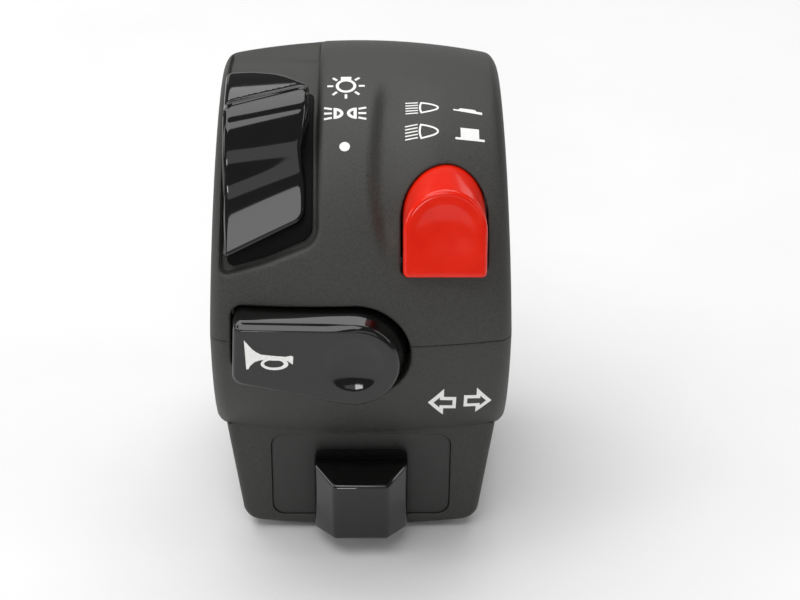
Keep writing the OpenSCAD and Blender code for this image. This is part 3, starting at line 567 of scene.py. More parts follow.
channel_loop = rounded_loop([(x, along(a)) for x, a in CHANNEL], [1.1, 9.0, 3.3, 1.2, 1.2])
dip_loop = seen_along_y(arch(PLAY, 0.8))
horn_loop = with_level(seen_along_y(belt(HORN_BASE + HORN_PLAY)))
horn_level = np.nonzero(horn_loop[:, 1] == 0)[0]
print("outline points: channel", len(channel_loop), "dip", len(dip_loop), "horn", len(horn_loop))

# %% [markdown]
# The skin between the openings is filled with a grid of points 0.55 mm apart, fine enough for the crease, and a
# row of points on the parting line so that the skin can be split into its two shells. Near that line the skin
# dips by 0.2 mm, which leaves the thin dark line where the halves meet.

# %% Rows across and along the skin
side = np.linspace(FLAT_W, END_W, 9)
w_rows = np.concatenate([-side[::-1], np.linspace(-FLAT_W, FLAT_W, 71)[1:-1], side])
seam_rows = np.array([0, 0.1, 0.22, 0.4])
SEAM_DEPTH, SEAM_HALF = 0.2, 0.3
up_rows = np.concatenate([seam_rows, np.linspace(0.9, along(BACK_A), 112)])


def lip_level(w):
    """Level of the lower lip: it rises by 0.55 r(1 - cos a) over the end edge."""
    return LIP_Z + 0.55 * EDGE_R * (1 - np.cos(over_edge(w)))


def lip_start(w):
    """Angle where the lower lip's rounding starts: down the skin until a circle of LIP_R reaches the lip's level."""
    r, low = BARREL_R - drop_at(w), lip_level(w)
    a = np.arcsin(low / r)
    for _ in range(12):
        a = np.arcsin((low + LIP_R * (1 + np.sin(a))) / r)
    return a


lip_a = lip_start(w_rows)
lip_s = lip_a * BARREL_R
down_share = np.concatenate([seam_rows, np.linspace(0.9, -lip_s[0], 30)]) / -lip_s[0]


def seam_dip(s):
    """Depth of the groove at the parting line: 0.2 mm on it, a quarter circle up to the skin 0.3 mm away."""
    t = np.clip(np.abs(s) / SEAM_HALF, 0, 1)
    return -SEAM_DEPTH * (1 - np.sqrt(1 - (1 - t) ** 2))


def rim_rings(loop, r):
    """Rings of a rounded edge, from the skin to the wall, each with its depth."""
    return [(inset(loop, -away), deep) for away, deep in quarter(r, 5)]


print("rows:", len(w_rows), "across,", len(up_rows), "up,", len(down_share), "down")

# %% Fill the front of the skin
SEAM_GAP, HOLE_GAP = 0.2, 0.3
channel_rings, dip_rings, horn_rings = (
    rim_rings(loop, r) for loop, r in ((channel_loop, CHANNEL_RIM), (dip_loop, DIP_RIM), (horn_loop, HORN_RIM)))
for ring, _ in horn_rings:
    ring[horn_level, 1] = 0
border = np.vstack([
    pairs(w_rows, lip_s)[:-1], pairs(END_W, lip_s[-1] * down_share)[::-1], pairs(END_W, up_rows[1:-1]),
    pairs(w_rows, up_rows[-1])[::-1], pairs(-END_W, up_rows[1:-1])[::-1], pairs(-END_W, lip_s[0] * down_share[:-1])])
holes = [channel_rings[0][0], dip_rings[0][0], horn_rings[0][0]]
inner = np.vstack([pairs(w_rows[1:-1], up_rows[1:-1, None]),
                   pairs(w_rows[1:-1], down_share[1:-1, None] * lip_s[1:-1])])
for loop in holes:
    inner = inner[clear_of(inner, loop, HOLE_GAP) & ~inside(inner, loop)]
left_end, right_end = np.sort(horn_rings[0][0][horn_level, 0])
seams = [pairs(np.append(w_rows[w_rows < left_end - SEAM_GAP], left_end), 0.0),
         pairs(np.append(right_end, w_rows[w_rows > right_end + SEAM_GAP]), 0.0)]
flat, tris = fill([border, *holes], inner, seams)
print("front of the skin:", len(flat), "points,", len(tris), "triangles")

# %% Raise the rims, the walls and the channel floor
LEDGE, FLOOR_FILLET = 0.12, 0.45
front_points = [on_skin(flat, seam_dip(flat[:, 1]))]
front_s, front_faces = [flat[:, 1]], [tris]


def floor_radius(w, s):
    """Radius of the channel's floor: level, then rising to the skin at the channel's far end."""
    rise = smoothstep(along(CHANNEL_END[0]), along(CHANNEL_END[1]), s)
    skin = radius_at(w, s)
    return np.minimum(skin, FLOOR_R + (skin - FLOOR_R) * rise)


def room(ring):
    """Share of a rounding that the channel has room for: its depth over 1.2 mm, at most one."""
    return np.clip((radius_at(*ring.T) - floor_radius(*ring.T)) / 1.2, 0, 1)


def add_front(points, s, faces):
    """Takes a patch of the front: its points, the length s along the skin for each of them, and its faces."""
    front_faces.append(faces + sum(map(len, front_points)))
    front_points.append(points)
    front_s.append(s)


def add_rows(rows, s):
    """Takes rings as rows of points, all with the same s along each ring, joined by quads."""
    add_front(np.vstack(rows), np.tile(s, len(rows)), quads(len(rows), len(s), True))


rows = [on_skin(ring, -deep * room(ring)) for ring, deep in channel_rings]
for up, inward in quarter(FLOOR_FILLET, 5):
    ring = inset(channel_loop, LEDGE + inward)
    rows.append(at_radius(*ring.T, floor_radius(*ring.T) + up * room(ring)))
add_rows(rows, channel_loop[:, 1])
floor_loop = inset(channel_loop, LEDGE + FLOOR_FILLET)
floor_flat, floor_tris = fill([floor_loop], seeds([floor_loop], 0.8))
add_front(at_radius(*floor_flat.T, floor_radius(*floor_flat.T)), floor_flat[:, 1], floor_tris)
for rings, deep in ((dip_rings, 4.5), (horn_rings, 4.0)):
    rows = [on_skin(ring, -low + seam_dip(ring[:, 1])) for ring, low in rings]
    rows.append(rows[-1] + [0, deep, 0])
    add_rows(rows, rings[-1][0][:, 1])
front_points, front_s = np.vstack(front_points), np.concatenate(front_s)
front_faces = [f for block in front_faces for f in block.tolist()]
level = np.array([front_s[f].mean() for f in front_faces])
print("faces above and below the parting line:", int((level > 0).sum()), int((level < 0).sum()))

# %% [markdown]
# ## The two shells
# The upper shell goes on over the top and down a flat back; the lower shell turns round its lip into a flat
# floor, which is closed all across. Flat end faces close both, down to the bore. The open skin then gets its wall
# thickness, and the main ribs, rails and bosses inside are added as blocks.


# %% Rows of the shells
def point_rows(rows):
    """Rows of (x, y, z), each an array across the width, as a grid of points."""
    return np.transpose(np.array(rows), (0, 2, 1))


def back_rows():
    """Rows from the top of the barrel over the back's rounding and down to the parting plane, for every w."""
    x, d = width_at(w_rows), drop_at(w_rows)
    rows = [[x, BACK_Y - BACK_R - (BACK_R - d) * math.cos(a), BACK_Z + (BACK_R - d) * math.sin(a)]
            for a in np.radians(np.linspace(BACK_A, 180, 13))]
    rows += [[x, BACK_Y - d, 0 * x + z] for z in np.linspace(BACK_Z, 0.3, 9)[1:]]
    rows.append([x, BACK_Y - d - 0.15, 0 * x])
    return np.stack([drafted(row) for row in point_rows(rows)])


def end_face(edge):
    """Flat end face: rows from an edge of the skin straight in to the bore, along the same angle."""
    a = np.arctan2(edge[:, 2], -edge[:, 1])
    y, z = -BORE_R * np.cos(a), BORE_R * np.sin(a)
    x = np.sign(edge[0, 0]) * (HALF_W - DRAFT * np.clip(z, 0, None))
    share = np.linspace(0, 1, 5)[:, None, None]
    return edge * (1 - share) + np.column_stack([x, y, z]) * share


def take_front(work, own):
    """Gives a shell its own faces of the front: the triangles, then the quads."""
    for corners in (3, 4):
        work.add(front_points, [f for f, mine in zip(front_faces, own) if mine and len(f) == corners])


back = back_rows()
print("rows of the back:", len(back))


# %% Blocks inside the shells
def sector_block(r0, r1, x0, x1, a0, a1):
    """Curved block: a rectangle in radius and x carried round the handlebar from angle a0 to a1, with flat ends."""
    a = np.radians(np.linspace(a0, a1, max(3, int((a1 - a0) / 3))))[:, None]
    r, x = np.array([r0, r1, r1, r0]), np.array([x0, x0, x1, x1])
    return Patchwork().tube(np.stack([0 * a + x, -np.cos(a) * r, np.sin(a) * r], axis=-1))


def round_block(x, y, z0, z1, r, hole, hole_z):
    """Upright boss: a turned profile (radius, z) carried round its axis; its hole is open below, up to hole_z."""
    far, z = np.array([(0, hole_z), (hole, hole_z), (hole, z0), (r, z0), (r, z1), (0, z1)]).T[:, :, None]
    a = np.linspace(0, 2 * math.pi, 33)[:-1]
    work = Patchwork()
    work.grid(np.stack([x + far * np.cos(a), y + far * np.sin(a), z + 0 * a], axis=-1), closed=True)
    return work


def flat_block(lo, hi):
    """Straight block between two corners, as a ring of four points carried along X and closed at both ends."""
    (x0, y0, z0), (x1, y1, z1) = lo, hi
    ring = np.array([[0, y0, z0], [0, y1, z0], [0, y1, z1], [0, y0, z1]])
    return Patchwork().tube(np.stack([ring + [x0, 0, 0], ring + [x1, 0, 0]]))


print("a straight block has", len(flat_block((0, 0, 0), (1, 1, 1)).faces), "faces")

# %% Walls of the shells
END_GAP, SKIN_GAP, FLOOR_GAP, BACK_GAP = 0.7, 1.5, 1.2, 0.8
CHANNEL_X, CHANNEL_A, CARRIER_A = -4.2, (17, 121), (25, 95)
CARRIER_X, CARRIER_SIDE_X, CARRIER_WALL_X = -10.9, -18.0, -19.15
CARRIER_R, CARRIER_TOP_R, CARRIER_ROOF_R = 18.5, 23.5, 25.4
DIP_WAY_Y, NEAR_ZERO = -12, 0.1


def between(a, span):
    """True where an angle lies inside a span."""
    return (a > span[0]) & (a < span[1])


def from_axis(points):
    """Direction away from the handlebar's axis."""
    return points * [0.3, 1, 1]


def behind_skin(points):
    """Keeps the inner side of a wall inside the housing: a gap behind the ends, the barrel and the channel's floor,
    and another behind the back, its round upper edge and the lower shell's floor. Where the light carrier swings, at
    the upper left, it also keeps the wall and the roof clear of it. Round the dip button's arch it stays outside the
    straight way that the button slides along."""
    x, y, z = points.T
    end = HALF_W - END_GAP - DRAFT * np.clip(z, 0, None)
    x = np.clip(x, -end, end)
    drop, a = drop_at(x), np.degrees(np.arctan2(z, -y))
    limit = radius_at(x, along(a)) - SKIN_GAP
    channel = (x < CHANNEL_X) & between(a, CHANNEL_A)
    limit = np.where(channel, np.minimum(limit, FLOOR_R - FLOOR_GAP), limit)
    share = np.minimum(1, limit / np.maximum(np.hypot(y, z), NEAR_ZERO))
    y, z = np.minimum(y * share, BACK_Y - drop - BACK_GAP), np.maximum(z * share, LIP_Z + BACK_GAP)
    dy, dz = np.clip(y - BACK_Y + BACK_R, 0, None), np.clip(z - BACK_Z, 0, None)
    share = np.minimum(1, (BACK_R - drop - BACK_GAP) / np.maximum(np.hypot(dy, dz), NEAR_ZERO))
    share = np.where(np.degrees(np.arctan2(dz, -dy)) > BACK_A, share, 1)
    y, z = y - dy * (1 - share), z - dz * (1 - share)
    r = np.hypot(y, z)
    carrier = between(a, CARRIER_A) & (x < CARRIER_X) & (r > CARRIER_R)
    x = np.where(carrier & (x < CARRIER_SIDE_X), np.minimum(x, CARRIER_WALL_X), x)
    roof = carrier & (r > CARRIER_TOP_R)
    grow = np.where(roof, np.maximum(1, CARRIER_ROOF_R / np.maximum(r, NEAR_ZERO)), 1)
    y, z = y * grow, z * grow
    dx, dz = x - DIP_X, z - DIP_ZC
    far, clear = np.hypot(dx, dz), DIP_R + PLAY
    way = (y < DIP_WAY_Y) & (dz > 0) & (far < clear)
    grow = np.where(way, clear / np.maximum(far, NEAR_ZERO), 1)
    return np.column_stack([DIP_X + dx * grow, y, DIP_ZC + dz * grow])


def with_blocks(skin, name, blocks):
    """Gives a skin its wall, then adds closed blocks to the same mesh, each welded and turned outwards by itself."""
    shell = thickened(skin.mesh(name + "_skin", from_axis), WALL, behind_skin)
    for block in blocks:
        solid = block.mesh(name + "_block")
        shell.points.append(read(solid.vertices, "co") / MM)
        shell.faces += [[v + shell.count for v in p.vertices] for p in solid.polygons]
        shell.count += len(solid.vertices)
    mesh = bpy.data.meshes.new(name)
    mesh.from_pydata((np.vstack(shell.points) * MM).tolist(), [], shell.faces)
    return mesh


print("walls:", WALL, "mm")

# %% Upper shell
upper = Patchwork()
take_front(upper, level > 0)
upper.grid(back)
for end in (0, -1):
    front_edge = on_skin(pairs(w_rows[end], up_rows), seam_dip(up_rows))
    upper.grid(end_face(np.vstack([front_edge, back[1:, end]])))
inside_upper = [sector_block(BORE_R, 26.0, -7.95, -6.45, 22, 118), sector_block(15.9, 17.1, -19.2, -7.75, 25, 115),
                sector_block(BORE_R, 28.8, 2, 3.5, 62, 130),
                *[round_block(x, y, 0, 14, BOSS_R, 2.9, 8.6) for x, y in CLAMPS],
                *[round_block(x, -7.11, 18.0, 26.8, 2.0, 0.85, 24.0) for x in (6.05, 16.95)]]
piece("upper_half", with_blocks(upper, "upper_shell", inside_upper), "housing", "housing_plastic", ["upper_shell"])

# %% Lower shell
HEAD_Z, SHANK_R = -14.3, 2.2
lower = Patchwork()
take_front(lower, level < 0)
x, d = width_at(w_rows), drop_at(w_rows)
r = BARREL_R - d
start = np.stack([-r * np.cos(lip_a), r * np.sin(lip_a)])
heading = np.arctan2(-np.cos(lip_a), -np.sin(lip_a))
middle = start + LIP_R * np.stack([-np.sin(heading), np.cos(heading)])
lip = point_rows([[x, *(middle + LIP_R * np.stack([np.sin(t * heading), -np.cos(t * heading)]))]
                  for t in np.linspace(1, 0, 8)])
lower.grid(lip)
y_front, y_back = lip[-1, :, 1], BACK_Y - d - LIP_R
side_y = [y_front[end] + (y_back[end] - y_front[end]) * np.linspace(0, 1, 26)[1:-1] for end in (0, -1)]
floor_border = np.vstack([pairs(w_rows, y_front), pairs(END_W, side_y[-1]),
                          pairs(w_rows, y_back)[::-1], pairs(-END_W, side_y[0])[::-1]])
bore_rims = [rim_rings(arc_points(place, HEAD_R, 0, 352.5, 48), 0.3) for place in CLAMPS]


def floor_point(place, up):
    """Point of the lower shell's floor at (w, y), raised by up."""
    return np.column_stack([width_at(place[:, 0]), place[:, 1], lip_level(place[:, 0]) + up])


lower.cap([floor_border, *[rims[0][0] for rims in bore_rims]], 1.4, floor_point, 0, True)
for rims, (cx, cy) in zip(bore_rims, CLAMPS):
    rows = [floor_point(ring, deep) for ring, deep in rims]
    rows.append(rows[-1] * [1, 1, 0] + [0, 0, HEAD_Z])
    rows.append((rows[-1] - [cx, cy, 0]) * [SHANK_R / HEAD_R, SHANK_R / HEAD_R, 1] + [cx, cy, 0])
    lower.grid(np.stack(rows), closed=True)
lip_low = lip_level(w_rows)
rows = [[x, y_back + LIP_R * math.sin(a), lip_low + LIP_R * (1 - math.cos(a))]
        for a in np.linspace(0, math.pi / 2, 7)]
rows += [[x, BACK_Y - d, (lip_low + LIP_R) * (1 - t) - 0.3 * t] for t in np.linspace(0, 1, 8)[1:]]
rows.append([x, BACK_Y - d - 0.15, 0 * x])
behind = point_rows(rows)
lower.grid(behind)
for end in (0, -1):
    s_edge = down_share * lip_s[end]
    front_edge = on_skin(pairs(w_rows[end], s_edge), seam_dip(s_edge))
    floor_edge = floor_point(pairs(w_rows[end], side_y[end]), 0)
    lower.grid(end_face(np.vstack([front_edge, lip[1:, end], floor_edge, behind[:, end]])))
print("lower shell patches:", len(lower.points))

# %% [markdown]
# The skirt below the lip holds the turn signal switch. It is an outline that narrows downwards, carried
# backwards, with rounded front and back edges. Its front has a shallow window for the faceplate and its back a
# hole for the cable grommet.

# %% Skirt
SKIRT_FRONT, SKIRT_BACK, SKIRT_WALL, SKIRT_GAP = -22.5, 7.0, 1.6, 0.9
skirt_bottom = np.linspace(-0.75, 0.75, 13)
skirt_loop = subdivided(np.vstack([
    [[20, -16.9], [-20, -16.9]], arc_points((-14.8, -33.1), 3, 184, 264, 10),
    pairs(14.8 * skirt_bottom, -37 + 0.9 * skirt_bottom ** 2), arc_points((14.8, -33.1), 3, 276, 356, 10)]), 0.6)
grommet_loop = arc_points((0, -28), 4.5, 0, 352.5, 48)
front_rim = [(inset(skirt_loop, d), SKIRT_FRONT + low) for d, low in quarter(1.1, 7)]
back_rim = [(inset(skirt_loop, d), SKIRT_BACK - low) for low, d in quarter(0.8, 6)]
window_rim = rim_rings(slab_loop(13.3, -34.6, -20.0, 2), 0.12)
skirt = Patchwork()
skirt.grid(np.stack([facing(ring, -y) for ring, y in front_rim + back_rim]), closed=True)
skirt.cap([front_rim[0][0], window_rim[0][0]], 1.2, facing, -SKIRT_FRONT)
rows = [facing(ring, -SKIRT_FRONT - deep) for ring, deep in window_rim]
rows.append(rows[-1] + [0, SKIRT_WALL, 0])
skirt.grid(np.stack(rows), closed=True)
skirt.cap([back_rim[-1][0], grommet_loop], 1.5, facing, -SKIRT_BACK, True)


def from_skirt(points):
    """Direction away from the skirt's middle."""
    return points - [0, -7.8, -27]


def behind_skirt(points):
    """Keeps the inner side of the skirt's wall 0.9 mm behind its front and its back."""
    return np.clip(points, [-30, SKIRT_FRONT + SKIRT_GAP, -60], [30, SKIRT_BACK - SKIRT_GAP, 0])


inside_lower = [thickened(skirt.mesh("skirt_skin", from_skirt), SKIRT_WALL, behind_skirt),
                flat_block((-18.6, -13.4, -17.5), (18.6, -11.9, -1))]
for x0 in (-9, 7.5):
    inside_lower += [flat_block((x0, -13.4, -17.2), (x0 + 1.5, -11.3, -1)),
                     flat_block((x0, 11.4, -17.2), (x0 + 1.5, 18.5, -0.3)),
                     sector_block(BORE_R + 0.05, 16.5, x0, x0 + 1.5, -150, -30)]
piece("lower_half", with_blocks(lower, "lower_shell", inside_lower), "housing", "housing_plastic", ["lower_shell"])

# %% [markdown]
# ## The light lever
# A polished thumb piece that turns about the handlebar in its channel. A smooth flank climbs to a skewed ridge
# with a fine bead, and below the ridge a deep scoop takes the thumb and turns up again at the tail. Its height is
# a function of the place on the barrel. The scoop is written as slopes, because slopes decide where the polished
# surface shows a lamp and where it stays dark; the heights are their running sum.

# %% Lever knob
LEVER_X0, LEVER_W, RIDGE_R = -19.05, 11.6, 33.3
RIDGE_S, RIDGE_SKEW, BEAD_TURN = 33.75, 3.4, 1.3
lever_loop = rounded_loop(
    [(-19.05, 12.85), (-7.7, 18.7), (-7.65, 24.5), (-8.2, 28.9), (-7.25, 34.5), (-7.3, 38.8), (-11.5, 41.6),
     (-15.5, 42.5), (-19.05, 42.3)], [0.7, 2.4, 6.0, 5.0, 5.0, 1.2, 8.0, 8.0, 1.0], 0.2)
SCOOP_LONG = 19.65
SCOOP_AT = np.linspace(0, 1.2, 241)
SCOOP_SLOPE = np.interp(
    SCOOP_AT, [0, 0.05, 0.12, 0.15, 0.2, 0.3, 0.35, 0.4, 0.45, 0.5, 0.6, 0.7, 0.75, 0.85, 0.95, 1.05],
    [2, -1, -5, -11, -22.5, -25.5, -27.5, -32, -34, -30, -16, -4, 1.5, 8.5, 14.5, 19.5])
SCOOP_FALL = np.cumsum(np.tan(np.radians(SCOOP_SLOPE))) / 200
BEAD_OFFSETS = (-0.75, -0.55, -0.4, -0.28, -0.16, -0.05, 0.06, 0.17, 0.3, 0.45, 0.65, 0.9, 1.2, 1.5)


def ridge(x):
    """Where the ridge runs along the barrel at x, and how far its bead turns down there: 1.3 (1 - root of 1 - e^2),
    e growing from 0 to 1 over the outer 12 percent of the width at each end."""
    t = (x - LEVER_X0) / LEVER_W
    e = np.clip((np.abs(2 * t - 1) - 0.76) / 0.24, 0, 1)
    return RIDGE_S + RIDGE_SKEW * t, BEAD_TURN * (1 - np.sqrt(1 - e ** 2))


def lever_top(place):
    """Radius of the knob: the lower of the flank, which steps down by 0.9 mm behind the ridge and then falls by
    0.09 v + 0.004 v^2 at v millimetres past it, and the scoop, whose fall is the sum of its slopes from the ridge
    towards the tail; then a bead of 0.2 mm on the ridge, which turns down at both its ends."""
    line, turn = ridge(place[:, 0])
    past = place[:, 1] - line
    bead = past + turn
    flank = RIDGE_R - 0.9 * smoothstep(0, 1.6, bead) - 0.09 * past - 0.004 * past ** 2 * np.sign(past)
    scoop = RIDGE_R + SCOOP_LONG * np.interp(-past / SCOOP_LONG, SCOOP_AT, SCOOP_FALL)
    return soft_min(flank, scoop, 0.05) + 0.2 * np.exp(-(bead / 0.3) ** 2)


def on_lever(place, r):
    """Point at (x, length along the barrel) on a radius about the handlebar."""
    a = place[:, 1] / BARREL_R
    return np.column_stack([place[:, 0], -r * np.cos(a), r * np.sin(a)])


def bead_row(off):
    """Row of points along the ridge's bead, off millimetres past its middle."""
    x = np.arange(LEVER_X0 + 0.1, LEVER_X0 + LEVER_W, 0.16)
    line, turn = ridge(x)
    return pairs(x, line + off - turn)


lever = moulded(lever_loop, lever_top, FLOOR_R + 0.4, on_lever, fillet=0.8, step=0.28, rings=9,
                paths=[bead_row(off) for off in BEAD_OFFSETS])
piece("light_thumb_piece", lever, "light_lever", "gloss_black", ["light_lever"])
# Sheet on the channel floor that rides with the lever, under it and out towards the channel's right wall. It stands
# partly for the lever's own lower flange, and its darkened black is painted shade for the deep gap beside the lever.
shutter_loop = rounded_loop([(-18.45, 11.5), (-13.2, 13.1), (-6.7, 16.2), (-6.7, 42.0), (-18.45, 42.0)],
                            [0.9, 8.0, 2.6, 1.0, 1.0])
shutter = moulded(shutter_loop, FLOOR_R + 0.5, FLOOR_R + 0.08, on_lever, fillet=0.1, step=0.8, rings=3)
piece("light_shutter_painted_shade", shutter, "light_lever", "panel_plastic", material=shade_painted_black)

# %% [markdown]
# ## The dip button
# A red arch that slides straight in. Its face leans back a little, with a fine rounded rim and a thumb hollow:
# steep at the top, where it faces the floor and looks pale, and gentle below.

# %% Dip button
DIP_FRONT, DIP_BACK, DIP_LEAN, DIP_HOLLOW = 28.31, 16.11, 0.265, 0.24


def dip_face(place):
    """Height of the face: a plane that leans back by 0.265 mm for each mm upwards, less a hollow of depth
    0.24 (1 - u^2 - v^2)(1 + 0.9 v), where u and v run from -1 to 1 across and up an oval 8.6 by 8.8 mm."""
    x, z = place[:, 0], place[:, 1]
    u, v = (x - DIP_X) / 4.3, (z - 16.4) / 4.4
    return DIP_FRONT - DIP_LEAN * (z - 16.75) - DIP_HOLLOW * np.clip(1 - u * u - v * v, 0, None) * (1 + 0.9 * v)


dip = moulded(arch(0, 0.7), dip_face, DIP_BACK, facing, fillet=0.65, step=0.3, rings=8)
piece("dip_cap", dip, "dip_button", "gloss_red", ["dip_button"])

# %% [markdown]
# ## The horn button
# A long polished cap, hinged at its left end. Its outline is a belt round three circles and its flank flares
# towards the base. Along the top the edge is a broad convex facet; elsewhere it is a small rounding. A round
# dimple marks where the thumb presses.

# %% Horn button
HORN_FACE, HORN_BACK = 32.95, 26.6
FACET = [(1.6, math.radians(75), math.radians(57)), (4.0, math.radians(57), math.radians(40))]
HORN_FILLET, HORN_POINTS = 0.8, 260
DIMPLE_AT, DIMPLE_R, DIMPLE_AWAY = [-1.0, -1.3], 9.1, 8.0


def even(loop, n):
    """The same outline with n points, spaced evenly along it from its rightmost point."""
    loop = np.roll(loop, -int(np.argmax(loop[:, 0])), axis=0)
    ring = np.vstack([loop, loop[:1]])
    run = np.concatenate([[0], np.cumsum(np.linalg.norm(np.diff(ring, axis=0), axis=1))])
    at = np.linspace(0, run[-1], n + 1)[:-1]
    return np.column_stack([np.interp(at, run, ring[:, 0]), np.interp(at, run, ring[:, 1])])


def edge_drop(d, share):
    """How far the edge lies below the face, d inside the outline: a quarter circle of 0.8 mm, mixed by a share with
    a facet of two arcs, of 1.6 and 4 mm radius, that turns from 75 to 57 and on to 40 degrees off the face."""
    fillet = HORN_FILLET - math.sqrt(HORN_FILLET ** 2 - max(HORN_FILLET - d, 0) ** 2)
    (r0, a0, a1), (r1, b0, b1) = FACET
    first = r0 * (math.sin(a0) - math.sin(a1))
    low = r1 * (math.cos(b1) - math.cos(b0))
    if d < first:
        deep = low + r0 * math.cos(a1) - math.sqrt(r0 ** 2 - (r0 * math.sin(a0) - d) ** 2)
    else:
        deep = r1 * math.cos(b1) - math.sqrt(r1 ** 2 - (r1 * math.sin(b0) - d + first) ** 2)
    return share * (deep + math.sqrt(deep ** 2 + 0.004)) / 2 + (1 - share) * fillet


def horn_face(place):
    """Height of the face: flat, less a dimple of a 9.1 mm sphere 1.1 mm deep, with a softened edge."""
    far = ((place - DIMPLE_AT) ** 2).sum(axis=1)
    bowl = np.sqrt(np.maximum(DIMPLE_R ** 2 - far, 0)) - DIMPLE_AWAY
    return HORN_FACE + soft_min(-bowl, 0 * bowl, 0.1)


horn_rim = even(belt(HORN_FRONT, 0.2), HORN_POINTS)
rim_run = np.roll(horn_rim, -1, axis=0) - np.roll(horn_rim, 1, axis=0)
rises = -rim_run[:, 0] / np.linalg.norm(rim_run, axis=1)
faces_up = np.where(horn_rim[:, 0] < -10, smoothstep(0.5, 0.98, rises), smoothstep(-0.1, 0.6, rises))
facet_share = faces_up * (1 - 0.68 * smoothstep(-5.0, 1.5, horn_rim[:, 0]))
top_row = HORN_FACE - edge_drop(0, facet_share)
rows = [facing(even(belt(HORN_BASE, 0.2), HORN_POINTS), HORN_BACK)]
for t, h in ((0.1, 29.4), (0.55, 31.2)):
    ring = even(belt(HORN_BASE * (1 - t) + HORN_FRONT * t, 0.2), HORN_POINTS)
    rows.append(facing(ring, np.minimum(h, top_row - 1.2 * (1 - t))))
for d in (0, 0.03, 0.08, 0.14, 0.2, 0.3, 0.42, 0.56, 0.7, 0.82, 0.9, 0.96, 1.01):
    rows.append(facing(inset(horn_rim, d), HORN_FACE - edge_drop(d, facet_share)))
rim_loop = inset(horn_rim, 1.08)
rows.append(facing(rim_loop, horn_face(rim_loop)))
horn = Patchwork()
horn.grid(np.stack(rows), closed=True)
horn.cap([rim_loop], 0.36, facing, horn_face)
horn.cap([rows[0][:, [0, 2]]], 1.5, facing, HORN_BACK, True)
piece("horn_cap", horn, "horn_button", "gloss_black", ["horn_button"])

# %% [markdown]
# ## The turn signal slider
# A faceted knob slides on a smooth faceplate set in the skirt's window. The knob is a few flat facets, so its
# rings are rectangles, and the Bevel modifier rounds every edge, as a moulding tool would.

# %% Faceplate
PLATE_FRONT, PLATE_BACK = 22.3, 19.3
plate_loop, slot_loop = slab_loop(13.25, -34.55, -20.05, 1.95), slab_loop(6.8, -30.9, -26.5, 0.5)
plate_rim = [(inset(plate_loop, d), PLATE_FRONT - low) for d, low in quarter(0.15, 5)]
plate = Patchwork()
plate.grid(np.stack([facing(ring, h) for ring, h in plate_rim] + [facing(plate_loop, PLATE_BACK)]), closed=True)
plate.cap([plate_rim[0][0], slot_loop], 1.2, facing, PLATE_FRONT)
plate.cap([plate_loop, slot_loop], 1.2, facing, PLATE_BACK)
plate.grid(np.stack([facing(slot_loop, PLATE_FRONT), facing(slot_loop, PLATE_BACK)]), closed=True)
piece("slider_plate", plate, "housing", "panel_plastic", ["turn_faceplate"])

# %% Slider knob
KNOB_RINGS = [(-22.66, 6.9, -34.85, -22.55), (-24.5, 6.9, -34.85, -22.55), (-25.9, 6.9, -34.5, -22.98),
              (-30.0, 3.9, -33.7, -24.2)]
knob = Patchwork().tube(np.array([[[-half, y, z0], [half, y, z0], [half, y, z1], [-half, y, z1]]
                                  for y, half, z0, z1 in KNOB_RINGS]))
stem = flat_block((-2.5, -23.2, -30.6), (2.5, -17.0, -26.8))
knob.add(np.vstack(stem.points), stem.faces)
knob_piece = piece("slider_knob", knob, "turn_slider", "gloss_black", ["turn_knob"])
bevel = knob_piece.modifiers.new("moulded_edges", "BEVEL")
bevel.width, bevel.segments, bevel.limit_method, bevel.angle_limit = 0.55 * MM, 4, "ANGLE", math.radians(12)
# Cover behind the faceplate's slot, riding with the knob. It takes the same darkened black, which is painted shade seen
# through the slot.
slot_cover = flat_block((-11.2, -19.24, -31.5), (11.2, -19.04, -25.9))
piece("turn_shutter", slot_cover, "turn_slider", "panel_plastic", material=shade_painted_black)
print("knob rings:", len(KNOB_RINGS))

# %% [markdown]
# ## The press springs
# Two coil springs push the dip and horn buttons out. Each is wound in its node's own place.


# %% Press springs
def wound(spring, wire, turns):
    """Spring wire wound along Y in a node's place: a circle of the wire's radius carried along the helix
    (r cos t, y, r sin t), whose y runs from the seat at the back to the front end. Also gives the seat and length."""
    lo, hi = (np.array(corner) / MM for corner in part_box(spring))
    middle, r = (lo + hi) / 2, (hi[0] - lo[0]) / 2 - wire
    t = np.linspace(0, 2 * math.pi * turns, 24 * turns + 1)
    out = np.column_stack([np.cos(t), 0 * t, np.sin(t)])
    core = middle * [1, 0, 1] + r * out
    core[:, 1] = np.linspace(hi[1] - wire, lo[1] + wire, len(t))
    b = np.linspace(0, 2 * math.pi, 9)[:-1, None]
    rows = core[:, None] + wire * (np.cos(b) * out[:, None] + np.sin(b) * [0, 1, 0])
    return Patchwork().tube(rows), np.array([middle[0], hi[1], middle[2]]), hi[1] - lo[1]


for name, spring, joint, wire, turns, travel in (("dip_coil", "dip_spring", "dip_press", 0.2, 5, 2.95),
                                                 ("horn_coil", "horn_spring", "horn_press", 0.25, 7, 1.3)):
    work, seat, long = wound(spring, wire, turns)
    spring_piece = piece(name, work, "housing", "spring_steel", [spring])
    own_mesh(spring_piece)
    print(f"{name}: {long:.2f} mm long, {long - travel:.2f} mm pressed")

# %% [markdown]
# ## Printed symbols
# The symbols are white ink, pad printed. Each is a flat outline, or a stroke with a width, in millimetres about
# its own middle. The outline is filled, laid on the skin and given 0.05 mm of thickness, 0.02 mm of it sunk in.

# %% Symbol helpers
INK_TOP, INK_FOOT = 0.03, -0.02


def stroke(a, b, width):
    """A straight stroke: the rectangle of a width about the line from a to b."""
    a, b = np.asarray(a, float), np.asarray(b, float)
    run = (b - a) / np.linalg.norm(b - a)
    across = np.array([-run[1], run[0]]) * width / 2
    return [np.array([a - across, b - across, b + across, a + across])]


def outlined(outer, width):
    """An outline drawn as a line: the outline, and the same outline inset by the line's width as its hole."""
    return [outer, inset(outer, width)]


